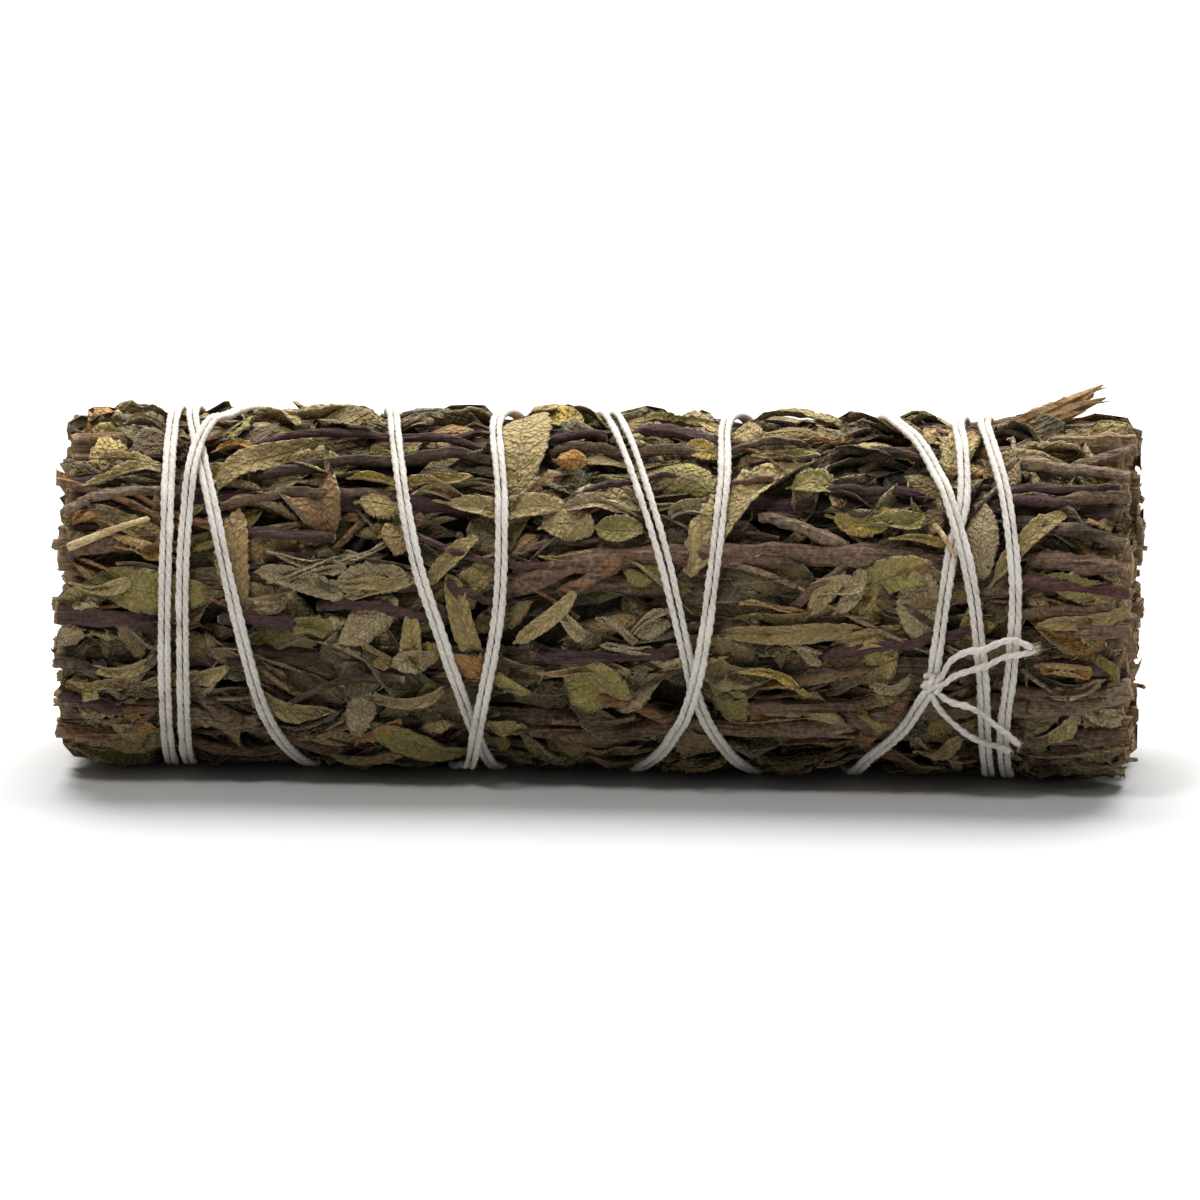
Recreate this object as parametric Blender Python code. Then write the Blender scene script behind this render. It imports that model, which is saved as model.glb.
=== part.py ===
"""A small dried sage bunch: woody stems and pressed leaf sprays, bound with one doubled cotton twine.

The bunch lies along X on the surface z = 0, with the origin under its middle. Angles go round its axis:
0 degrees is the top, 90 the front (-Y), 180 the underside and 270 the back. Lengths are in metres, and the
lists of places along the bunch are in millimetres.
"""

import math
import random

import bmesh
import bpy
from mathutils import Vector

MM = 0.001

# Driving dimensions of the bunch.
BUNCH_LENGTH = 100 * MM
LEAF_RADIUS = 16.9 * MM
AXIS_HEIGHT = 16.4 * MM
CLEARANCE = 0.3 * MM

# Rings of stems, from the middle outwards.
CORE_STEM_RADIUS = 1.9 * MM
INNER_RING_RADIUS = 4.3 * MM
INNER_STEM_RADIUS = 1.85 * MM
INNER_STEM_COUNT = 6
MIDDLE_RING_RADIUS = 9.0 * MM
MIDDLE_STEM_RADIUS = 2.05 * MM
MIDDLE_STEM_COUNT = 12
OUTER_RING_RADIUS = 14.1 * MM
OUTER_STEM_RADIUS = 1.2 * MM
OUTER_STEM_COUNT = 12
OUTER_STEP = 360 / OUTER_STEM_COUNT
FIRST_OUTER_ANGLE = OUTER_STEP / 2
FULL_LENGTH_STEMS = (2, 8)
STEM_WANDER = 0.12 * MM
STEM_TAPER = 0.88
RAGGED_END = 2.4 * MM

# Half of a leaf spray's cross-section between two outer stems: offset along the ring, and radius.
SPRAY_ROOT = (1.2 * MM, 11.6 * MM)
SPRAY_NECK = (1.85 * MM, 14.1 * MM)
SPRAY_LIP = (3.3 * MM, 16.1 * MM)
SPRAY_SHOULDER = (2.1 * MM, 16.7 * MM)
SPRAY_STATIONS = 8
SPRAY_SPLITS = (-6, 17, -20, 9, -13, 22, -4, 15, -18, 5, -24, 12)
SPRAY_SPLIT_GAP = 0.4 * MM
SPRAY_SET_BACK = 0.6 * MM
SPRAY_TIP_DROP = 1.1 * MM
SPRAY_CRUMPLE = 0.35 * MM
PRESSED_FLAT = 0.8 * MM

# Twine: two strands side by side, taken as one flattened cord.
TWINE_HALF_WIDTH = 0.6 * MM
TWINE_HALF_THICKNESS = 0.3 * MM
TWINE_RADIUS = 16.35 * MM
TWINE_LIFT = 0.95 * MM
TWINE_SIDES = 6
TAIL_RADIUS = 17.5 * MM
CROSSING_REACH = 1.45
CROSSING_RAMP = 14
KNOT_ANGLE = 107
KNOT_X = 31.5
KNOT_RADIUS = 16.95 * MM
KNOT_SIZE = (1.25 * MM, 0.85 * MM, 1.15 * MM)

# The winding as (turn, angle, place along the bunch in mm), from the knot and back to it.
# Where two stretches cross, the one listed first lies on top.
WINDING = (
    (0, 108.5, 31.3), (0, 125, 29.0), (0, 150, 24.8), (0, 255, 18.2),
    (1, 0, 11.9), (1, 40, 12.1), (1, 75, 11.4), (1, 105, 10.1), (1, 135, 7.3), (1, 160, 4.2), (1, 255, -2.6),
    (2, 0, -9.2), (2, 50, -8.1), (2, 85, -8.1), (2, 125, -10.2), (2, 160, -12.2), (2, 255, -22.5),
    (3, 0, -33.6), (3, 28, -36.2), (3, 60, -37.0), (3, 105, -37.1), (3, 165, -37.6), (3, 225, -37.4),
    (3, 300, -39.3), (4, 0, -39.2), (4, 60, -38.7), (4, 105, -38.8), (4, 165, -39.2),
    (4, 225, -39.3), (4, 300, -37.5), (5, 0, -37.6), (5, 20, -36.8), (5, 62, -33.9), (5, 97, -31.5),
    (5, 125, -29.7), (5, 165, -26.4), (5, 255, -22.8), (6, 0, -19.1), (6, 30, -18.0), (6, 66, -16.0),
    (6, 96, -13.2), (6, 127, -10.8), (6, 160, -9.4), (6, 255, -4.5), (7, 0, 1.2), (7, 35, 4.0),
    (7, 68, 7.0), (7, 95, 8.9), (7, 118, 10.2), (7, 143, 12.6), (7, 160, 14.2), (7, 255, 20.5),
    (8, 0, 27.2), (8, 20, 29.8), (8, 45, 32.6), (8, 73, 35.0), (8, 104, 36.1), (8, 128, 36.2),
    (8, 165, 36.2), (8, 225, 36.1), (9, 0, 35.4), (9, 20, 36.3), (9, 45, 38.0), (9, 75, 39.1),
    (9, 100, 38.8), (9, 128, 37.9), (9, 165, 37.9),
    (9, 225, 38.0), (9, 300, 34.2), (10, 0, 33.0), (10, 25, 33.8), (10, 47, 34.1), (10, 64, 33.2),
    (10, 85, 32.4), (10, 105.5, 31.6),
)
FULL_TURN = 360
WINDING_START = FULL_TURN * WINDING[0][0] + WINDING[0][1]
WINDING_END = FULL_TURN * WINDING[-1][0] + WINDING[-1][1]
WINDING_STEPS = 330
STEPS_PER_GROOVE = 33
UPPER_TAIL = ((106, 31.9), (99, 34.0), (96, 36.4), (94, 38.6), (94, 40.8))
LOWER_TAIL = ((108, 31.9), (115, 33.6), (120, 35.6), (124, 37.4), (130, 39.0))

# The broken twig at one end and the pale straw at the other: (place in mm, angle, radius in mm, half size in mm).
BROKEN_TWIG = (
    (31.0, 3, 14.2, 0.60), (35.8, 2, 14.8, 0.68), (38.6, 0, 16.3, 0.95), (42.0, -4, 17.5, 0.95), (46.0, -8, 18.9, 0.40),
)
STRAW = ((-47.6, 67, 16.6, 0.42), (-44.0, 62, 16.65, 0.46), (-40.2, 57, 16.6, 0.40))

# Finishes: base colour, roughness.
BARK = ((0.118, 0.070, 0.045, 1), 0.85)
PURPLE_BARK = ((0.070, 0.028, 0.042, 1), 0.80)
LEAF_GREEN = ((0.200, 0.190, 0.105, 1), 0.92)
LEAF_GREY = ((0.245, 0.225, 0.175, 1), 0.94)
SPLINTER = ((0.420, 0.270, 0.130, 1), 0.85)
STRAW_YELLOW = ((0.560, 0.430, 0.230, 1), 0.70)
COTTON = ((0.800, 0.760, 0.680, 1), 0.95)

spread = random.Random(11)


def clear_scene():
    for thing in list(bpy.data.objects):
        bpy.data.objects.remove(thing, do_unlink=True)


def place(along, angle, radius):
    """The point at a place along the bunch, an angle in degrees round it and a radius."""
    turned = math.radians(angle)
    return Vector((along, -radius * math.sin(turned), AXIS_HEIGHT + radius * math.cos(turned)))


def outward(angle):
    """The direction away from the bunch's axis at an angle."""
    turned = math.radians(angle)
    return Vector((0, -math.sin(turned), math.cos(turned)))


def finish_object(name, mesh, finish):
    """Puts a mesh in the scene as a named piece with a material of its own."""
    colour, roughness = finish
    material = bpy.data.materials.new(name + "_finish")
    material.use_nodes = True
    shader = material.node_tree.nodes["Principled BSDF"]
    shader.inputs["Base Color"].default_value = colour
    shader.inputs["Roughness"].default_value = roughness
    shader.inputs["Metallic"].default_value = 0.0
    mesh.materials.clear()
    mesh.materials.append(material)
    mesh.shade_smooth()
    mesh.set_sharp_from_angle(angle=math.radians(40))
    piece = bpy.data.objects.new(name, mesh)
    bpy.context.scene.collection.objects.link(piece)
    return piece


def loft(name, sections):
    """A closed skin through a row of cross-sections that all have the same number of points."""
    shape = bmesh.new()
    rings = [[shape.verts.new(point) for point in section] for section in sections]
    for ring, following in zip(rings, rings[1:]):
        for i, corner in enumerate(ring):
            after = (i + 1) % len(ring)
            shape.faces.new((corner, ring[after], following[after], following[i]))
    shape.faces.new(rings[0])
    shape.faces.new(rings[-1])
    bmesh.ops.recalc_face_normals(shape, faces=shape.faces)
    mesh = bpy.data.meshes.new(name)
    shape.to_mesh(mesh)
    shape.free()
    return mesh


def keep_longest_body(mesh):
    """Drops the loose chips that a cut leaves behind, and keeps the main body."""
    shape = bmesh.new()
    shape.from_mesh(mesh)
    unseen = set(shape.verts)
    bodies = []
    while unseen:
        front = [unseen.pop()]
        body = set(front)
        while front:
            for edge in front.pop().link_edges:
                for corner in edge.verts:
                    if corner in unseen:
                        unseen.discard(corner)
                        body.add(corner)
                        front.append(corner)
        bodies.append(body)
    longest = max(bodies, key=lambda body: max(v.co.x for v in body) - min(v.co.x for v in body))
    chips = [corner for corner in shape.verts if corner not in longest]
    bmesh.ops.delete(shape, geom=chips, context="VERTS")
    shape.to_mesh(mesh)
    shape.free()


def solidified(piece, operation, tools, solver="EXACT"):
    """The piece after the tools are joined to it or cut from it, as one body."""
    for tool in tools:
        step = piece.modifiers.new(tool.name, "BOOLEAN")
        step.operation = operation
        step.object = tool
        step.solver = solver
    graph = bpy.context.evaluated_depsgraph_get()
    mesh = bpy.data.meshes.new_from_object(piece.evaluated_get(graph))
    piece.modifiers.clear()
    keep_longest_body(mesh)
    piece.data = mesh
    return piece


def round_section(centre, tangent, half_size, sides):
    """Points round a stalk's centre, square to its direction."""
    side = tangent.cross(Vector((0, 0, 1))).normalized()
    up = side.cross(tangent).normalized()
    section = []
    for i in range(sides):
        turned = 2 * math.pi * i / sides
        section.append(centre + half_size * (math.cos(turned) * side + math.sin(turned) * up))
    return section


def make_stem(name, angle, ring_radius, stem_radius, sides, stations, finish, ragged=True):
    """A stem along the bunch: slightly wandering, tapered one way or the other, and cut square at both ends."""
    start = -BUNCH_LENGTH / 2
    end = BUNCH_LENGTH / 2
    if ragged:
        start += spread.uniform(0, RAGGED_END)
        end -= spread.uniform(0, RAGGED_END)
    tip_at_end = spread.random() < 0.5
    sections = []
    for i in range(stations):
        share = i / (stations - 1)
        along = start + (end - start) * share
        centre = place(along, angle, ring_radius)
        centre.y += spread.uniform(-STEM_WANDER, STEM_WANDER)
        centre.z += spread.uniform(-STEM_WANDER, STEM_WANDER)
        thinner = share if tip_at_end else 1 - share
        half_size = stem_radius * (1 - (1 - STEM_TAPER) * thinner)
        sections.append(round_section(centre, Vector((1, 0, 0)), half_size, sides))
    return finish_object(name, loft(name, sections), finish)


def make_stems():
    make_stem("core_stem", 0, 0, CORE_STEM_RADIUS, 6, 4, BARK)
    for i in range(INNER_STEM_COUNT):
        angle = 360 * i / INNER_STEM_COUNT
        make_stem(f"inner_stem_{i + 1:02d}", angle, INNER_RING_RADIUS, INNER_STEM_RADIUS, 6, 4, BARK)
    for i in range(MIDDLE_STEM_COUNT):
        angle = 360 * i / MIDDLE_STEM_COUNT
        finish = PURPLE_BARK if i % 3 == 1 else BARK
        make_stem(f"middle_stem_{i + 1:02d}", angle, MIDDLE_RING_RADIUS, MIDDLE_STEM_RADIUS, 6, 5, finish)
    for i in range(OUTER_STEM_COUNT):
        angle = FIRST_OUTER_ANGLE + OUTER_STEP * i
        finish = PURPLE_BARK if i % 4 == 1 else BARK
        ragged = i not in FULL_LENGTH_STEMS
        make_stem(f"outer_stem_{i + 1:02d}", angle, OUTER_RING_RADIUS, OUTER_STEM_RADIUS, 7, 7, finish, ragged)


def spray_section(along, angle, fullness):
    """One cross-section of a leaf spray, pressed flat where it meets the surface."""
    outline = []
    drop = SPRAY_TIP_DROP * (1 - fullness)
    crumple = [spread.uniform(-SPRAY_CRUMPLE, 0) for _ in range(3)]
    corners = (
        (-SPRAY_ROOT[0], SPRAY_ROOT[1]), (-SPRAY_NECK[0], SPRAY_NECK[1]),
        (-SPRAY_LIP[0] * fullness, SPRAY_LIP[1] - drop / 2),
        (-SPRAY_SHOULDER[0] * fullness, SPRAY_SHOULDER[1] - drop + crumple[0]),
        (0, LEAF_RADIUS - drop + crumple[1] * (1 - fullness)),
        (SPRAY_SHOULDER[0] * fullness, SPRAY_SHOULDER[1] - drop + crumple[2]),
        (SPRAY_LIP[0] * fullness, SPRAY_LIP[1] - drop / 2),
        (SPRAY_NECK[0], SPRAY_NECK[1]), (SPRAY_ROOT[0], SPRAY_ROOT[1]),
    )
    for offset, radius in corners:
        point = place(along, angle + math.degrees(offset / radius), radius)
        if point.z < PRESSED_FLAT:
            point.z = 0
        outline.append(point)
    return outline


def make_leaf_spray(name, angle, start, end, finish, cutters):
    """Leaves pressed into one long pad between two outer stems, grooved where the twine lies."""
    sections = []
    for i in range(SPRAY_STATIONS):
        share = i / (SPRAY_STATIONS - 1)
        fullness = 0.62 + 0.38 * math.sin(math.pi * share) ** 0.5
        sections.append(spray_section(start + (end - start) * share, angle, fullness))
    piece = finish_object(name, loft(name, sections), finish)
    # The exact solver loses a spray whose cuts meet in a sliver.
    return solidified(piece, "DIFFERENCE", cutters, solver="MANIFOLD")


def make_leaf_sprays(cutters):
    """Two leaf sprays in each gap between outer stems, split at a different place in each gap."""
    number = 0
    for i, split in enumerate(SPRAY_SPLITS):
        angle = OUTER_STEP * i
        left = -BUNCH_LENGTH / 2 + SPRAY_SET_BACK + spread.uniform(0, RAGGED_END)
        right = BUNCH_LENGTH / 2 - SPRAY_SET_BACK - spread.uniform(0, RAGGED_END)
        for start, end in ((left, split * MM - SPRAY_SPLIT_GAP), (split * MM + SPRAY_SPLIT_GAP, right)):
            number += 1
            finish = LEAF_GREY if number % 3 == 0 else LEAF_GREEN
            make_leaf_spray(f"leaf_spray_{number:02d}", angle, start, end, finish, cutters)


def smooth_route(points):
    """A function from the whole angle travelled to the place along the bunch, smooth through the points."""
    knots = [(FULL_TURN * turn + angle, along) for turn, angle, along in points]

    def slope(i):
        before = knots[max(i - 1, 0)]
        after = knots[min(i + 1, len(knots) - 1)]
        return (after[1] - before[1]) / (after[0] - before[0])

    def along_at(travelled):
        i = 0
        while i < len(knots) - 2 and travelled > knots[i + 1][0]:
            i += 1
        (low, first), (high, last) = knots[i], knots[i + 1]
        span = high - low
        share = (travelled - low) / span
        return (
            first * (1 + 2 * share) * (1 - share) ** 2 + span * slope(i) * share * (1 - share) ** 2
            + last * share**2 * (3 - 2 * share) - span * slope(i + 1) * share**2 * (1 - share)
        )

    return along_at


def twine_lift(along_at, travelled):
    """How far the twine rises to pass over the turns that lie under it."""
    lift = 0
    for nearby in range(-CROSSING_RAMP, CROSSING_RAMP + 1, 2):
        angle = travelled + nearby
        beneath = angle + FULL_TURN
        while beneath < WINDING_END:
            if abs(along_at(angle) - along_at(beneath)) < CROSSING_REACH:
                lift = max(lift, 0.5 + 0.5 * math.cos(math.pi * nearby / CROSSING_RAMP))
            beneath += FULL_TURN
    return lift


def twine_radius(angle):
    """The winding's radius, pressed in along the underside so that it clears the surface."""
    lowest = AXIS_HEIGHT - TWINE_HALF_THICKNESS - CLEARANCE / 2
    downward = -math.cos(math.radians(angle))
    return min(TWINE_RADIUS, lowest / downward) if downward > 0.5 else TWINE_RADIUS


def flat_section(centre, tangent, away, half_width, bottom, top, sides):
    """Points round a flattened cord, from its lowest to its highest side."""
    across = tangent.cross(away).normalized()
    up = across.cross(tangent).normalized()
    middle = (bottom + top) / 2
    half_height = (top - bottom) / 2
    section = []
    for i in range(sides):
        turned = 2 * math.pi * i / sides
        height = middle + half_height * math.sin(turned) / math.sin(math.pi / 3)
        section.append(centre + half_width * math.cos(turned) * across + height * up)
    return section


def sweep(name, centres, aways, half_width, bottom, top):
    """A flattened cord through a row of centres, closed at both ends."""
    sections = []
    for i, centre in enumerate(centres):
        before = centres[max(i - 1, 0)]
        after = centres[min(i + 1, len(centres) - 1)]
        tangent = (after - before).normalized()
        sections.append(flat_section(centre, tangent, aways[i], half_width, bottom, top, TWINE_SIDES))
    return loft(name, sections)


def winding_stretch(first_step, last_step, lifted):
    """Centres and outward directions along the winding, between two of its steps."""
    along_at = smooth_route(WINDING)
    centres = []
    aways = []
    for i in range(first_step, last_step + 1):
        travelled = WINDING_START + (WINDING_END - WINDING_START) * i / WINDING_STEPS
        angle = travelled % FULL_TURN
        radius = twine_radius(angle)
        if lifted:
            radius += TWINE_LIFT * twine_lift(along_at, travelled)
        centres.append(place(along_at(travelled) * MM, angle, radius))
        aways.append(outward(angle))
    return centres, aways


def tail(points):
    """Centres and outward directions of a short free end that lies over the winding."""
    centres = [place(along * MM, angle, TAIL_RADIUS) for angle, along in points]
    centres[0] = place(points[0][1] * MM, points[0][0], KNOT_RADIUS)
    return centres, [outward(angle) for angle, along in points]


def make_knot(name, extra):
    """The tight lump of the knot, grown by an extra thickness when it is a cutter."""
    shape = bmesh.new()
    bmesh.ops.create_icosphere(shape, subdivisions=2, radius=1)
    for corner in shape.verts:
        corner.co = Vector([value * (size + extra) for value, size in zip(corner.co, KNOT_SIZE)])
        corner.co += place(KNOT_X * MM, KNOT_ANGLE, KNOT_RADIUS)
    mesh = bpy.data.meshes.new(name)
    shape.to_mesh(mesh)
    shape.free()
    return finish_object(name, mesh, COTTON)


def as_tool(piece):
    """Marks a piece that only shapes its neighbours."""
    piece.hide_render = True
    piece.display_type = "WIRE"
    return piece


def make_twine():
    """One doubled twine: the whole winding, its knot and its two short ends in one body."""
    half_width = TWINE_HALF_WIDTH
    half_thickness = TWINE_HALF_THICKNESS
    centres, aways = winding_stretch(0, WINDING_STEPS, True)
    twine = finish_object("twine", sweep("twine", centres, aways, half_width, -half_thickness, half_thickness), COTTON)
    joined = [as_tool(make_knot("knot_lump", 0))]
    for name, points in (("upper_tail", UPPER_TAIL), ("lower_tail", LOWER_TAIL)):
        centres, aways = tail(points)
        mesh = sweep(name, centres, aways, half_width, -half_thickness, half_thickness)
        joined.append(as_tool(finish_object(name, mesh, COTTON)))
    return solidified(twine, "UNION", joined)


def make_grooves():
    """One deep ribbon for each turn of the twine, wider than it by the clearance, that grooves the leaves."""
    grooves = [as_tool(make_knot("knot_groove", CLEARANCE))]
    bottom = -TWINE_HALF_THICKNESS - CLEARANCE
    for step in range(0, WINDING_STEPS, STEPS_PER_GROOVE):
        centres, aways = winding_stretch(max(step - 1, 0), min(step + STEPS_PER_GROOVE + 1, WINDING_STEPS), False)
        name = f"twine_groove_{step:03d}"
        mesh = sweep(name, centres, aways, TWINE_HALF_WIDTH + CLEARANCE, bottom, TWINE_LIFT * 2)
        grooves.append(as_tool(finish_object(name, mesh, COTTON)))
    return grooves


def make_stalk(name, stations, extra, finish):
    """A short stalk through hand-set stations, grown by an extra thickness when it is a cutter."""
    centres = [place(along * MM, angle, radius * MM) for along, angle, radius, size in stations]
    sections = []
    for i, station in enumerate(stations):
        tangent = (centres[min(i + 1, len(centres) - 1)] - centres[max(i - 1, 0)]).normalized()
        sections.append(round_section(centres[i], tangent, station[3] * MM + extra, 6))
    return finish_object(name, loft(name, sections), finish)


def main():
    clear_scene()
    make_stems()
    make_twine()
    make_stalk("broken_twig", BROKEN_TWIG, 0, SPLINTER)
    make_stalk("straw", STRAW, 0, STRAW_YELLOW)
    cutters = make_grooves()
    cutters.append(as_tool(make_stalk("twig_groove", BROKEN_TWIG, CLEARANCE, SPLINTER)))
    cutters.append(as_tool(make_stalk("straw_groove", STRAW, CLEARANCE, STRAW_YELLOW)))
    make_leaf_sprays(cutters)


main()
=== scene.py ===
import math

import bpy
import numpy as np
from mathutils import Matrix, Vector


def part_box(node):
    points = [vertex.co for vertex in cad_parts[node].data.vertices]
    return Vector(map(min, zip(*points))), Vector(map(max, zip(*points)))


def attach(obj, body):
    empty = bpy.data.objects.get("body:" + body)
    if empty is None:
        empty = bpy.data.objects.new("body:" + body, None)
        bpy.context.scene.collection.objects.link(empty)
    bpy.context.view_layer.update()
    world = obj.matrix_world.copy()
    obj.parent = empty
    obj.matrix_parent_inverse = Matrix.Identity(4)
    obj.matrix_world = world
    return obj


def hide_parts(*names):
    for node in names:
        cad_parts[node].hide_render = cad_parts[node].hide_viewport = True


bl_info = {
    "name": "Dried Sage Bunch",
    "version": (1, 0, 0),
    "blender": (4, 5, 0),
    "location": "View3D > Sidebar > Sage Bunch",
    "description": "Builds a small dried sage bunch bound with doubled cotton twine",
    "category": "Add Mesh",
}

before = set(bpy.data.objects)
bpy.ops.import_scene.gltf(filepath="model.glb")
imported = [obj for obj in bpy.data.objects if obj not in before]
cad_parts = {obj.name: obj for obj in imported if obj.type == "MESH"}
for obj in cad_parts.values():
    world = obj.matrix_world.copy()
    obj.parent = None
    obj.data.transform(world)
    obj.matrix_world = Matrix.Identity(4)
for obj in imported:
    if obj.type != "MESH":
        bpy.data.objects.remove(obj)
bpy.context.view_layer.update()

NODE_SPACING = 240
NODES_IN_ROW = 8

# Lengths inside this script are in millimetres until a mesh is made. The bunch lies along X. Angles go round
# its axis in degrees: 0 is the top, 90 the front (-Y), 180 the underside and 270 the back.
MM = 0.001
AXIS_HEIGHT = 16.4
FULL_TURN = 360
DEGREES_PER_MM = 3.5

# Leaves are laid out on a cylinder of this radius, and one way round it is this long.
LEAF_RADIUS = 16.4
ROUND = 103

# Edges sharper than this many degrees stay sharp: on twigs, and on bare splinters.
SHARP_EDGE = 48
SHARP_SPLINTER = 38

# Where the two ends were sawn off, from the middle, and the middle in metres.
SAWN_OFF = (48.4, 49.6)
BUNCH_CENTRE = (0, 0, 0.016)

# Stations along a stem, a loose strand end and a splinter, and the way between stations of the winding.
STEM_STATIONS = 56
LOOSE_END_STATIONS = 44
SPLINTER_STATIONS = 24
STRAND_STEP = 0.33

# The length of a whole gap between stems, and for each end the tries at placing stubs and the tucked leaves.
GAP_LENGTH = 98
STUB_TRIES = 1400
END_LEAVES = 480

# The corners of a cotton hair, as angles round it.
HAIR_CORNERS = (0, 2.094, 4.189)

# Starting numbers of the random draws of each step.
SEEDS = {
    "filling": 5, "stems": 17, "outside_twigs": 23, "leaves": 41, "show_leaves": 47, "stalks": 53, "ends": 59,
    "twine": 71, "snapped_twig": 83, "straws": 97,
}

# The winding as (turn, angle, place along the bunch), from the knot and back to it.
# Where two stretches cross, the one listed first lies on top.
WINDING = (
    (0, 108.5, 31.3), (0, 125, 29.0), (0, 150, 24.8), (0, 255, 18.2),
    (1, 0, 11.9), (1, 40, 12.1), (1, 75, 11.4), (1, 105, 10.1), (1, 135, 7.3), (1, 160, 4.2), (1, 255, -2.6),
    (2, 0, -9.2), (2, 50, -8.1), (2, 85, -8.1), (2, 125, -10.2), (2, 160, -12.2), (2, 255, -22.5),
    (3, 0, -33.6), (3, 28, -36.2), (3, 60, -37.0), (3, 105, -37.1), (3, 165, -37.6), (3, 225, -37.4),
    (3, 300, -39.3), (4, 0, -39.2), (4, 60, -38.7), (4, 105, -38.8), (4, 165, -39.2),
    (4, 225, -39.3), (4, 300, -37.5), (5, 0, -37.6), (5, 20, -36.8), (5, 62, -33.9), (5, 97, -31.5),
    (5, 125, -29.7), (5, 165, -26.4), (5, 255, -22.8), (6, 0, -19.1), (6, 30, -18.0), (6, 66, -16.0),
    (6, 96, -13.2), (6, 127, -10.8), (6, 160, -9.4), (6, 255, -4.5), (7, 0, 1.2), (7, 35, 4.0),
    (7, 68, 7.0), (7, 95, 8.9), (7, 118, 10.2), (7, 143, 12.6), (7, 160, 14.2), (7, 255, 20.5),
    (8, 0, 27.2), (8, 20, 29.8), (8, 45, 32.6), (8, 73, 35.0), (8, 104, 36.1), (8, 128, 36.2),
    (8, 165, 36.2), (8, 225, 36.1), (9, 0, 35.4), (9, 20, 36.3), (9, 45, 38.0), (9, 75, 39.1),
    (9, 100, 38.8), (9, 128, 37.9), (9, 165, 37.9),
    (9, 225, 38.0), (9, 300, 34.2), (10, 0, 33.0), (10, 25, 33.8), (10, 47, 34.1), (10, 64, 33.2),
    (10, 85, 32.4), (10, 105.5, 31.6),
)
WINDING_START = FULL_TURN * WINDING[0][0] + WINDING[0][1]
WINDING_END = FULL_TURN * WINDING[-1][0] + WINDING[-1][1]
TWINE_RADIUS = 16.35
TWINE_LIFT = 0.95
TWINE_HALF_THICKNESS = 0.3
TWINE_CLEARANCE = 0.15
CROSSING_REACH = 1.45
CROSSING_RAMP = 14
KNOT_ANGLE = 107
KNOT_PLACE = 31.5
KNOT_RADIUS = 16.95
STRANDS_APART = 0.61
OPENED_TURN = (7, 1.15, 100)

# The four loose strand ends from the knot: (place along the bunch, angle, radius).
LOOSE_ENDS = (
    ((31.7, 106, 17.0), (32.3, 104, 17.2), (33.3, 98, 17.4), (34.7, 95, 17.5), (36.4, 94, 17.55),
     (37.7, 92, 17.5), (38.9, 91, 17.55), (40.7, 93.5, 17.3)),
    ((31.7, 107, 17.0), (32.5, 106, 17.2), (33.6, 103, 17.35), (35.0, 101, 17.5), (36.7, 99, 17.5),
     (38.1, 96.5, 17.5), (39.7, 95.5, 17.45), (41.0, 94.5, 17.3)),
    ((31.7, 108, 17.0), (32.2, 109.5, 17.2), (33.2, 112, 17.3), (34.9, 113.5, 17.45), (36.1, 116, 17.5),
     (37.2, 120, 17.5), (38.3, 124, 17.45), (39.3, 129.5, 17.2)),
    ((31.5, 109, 17.0), (31.7, 111.5, 17.15), (32.4, 116, 17.2), (33.6, 121, 17.3), (34.8, 125, 17.4),
     (36.2, 128, 17.5), (37.4, 130, 17.4), (38.4, 133, 17.2)),
)

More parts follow.
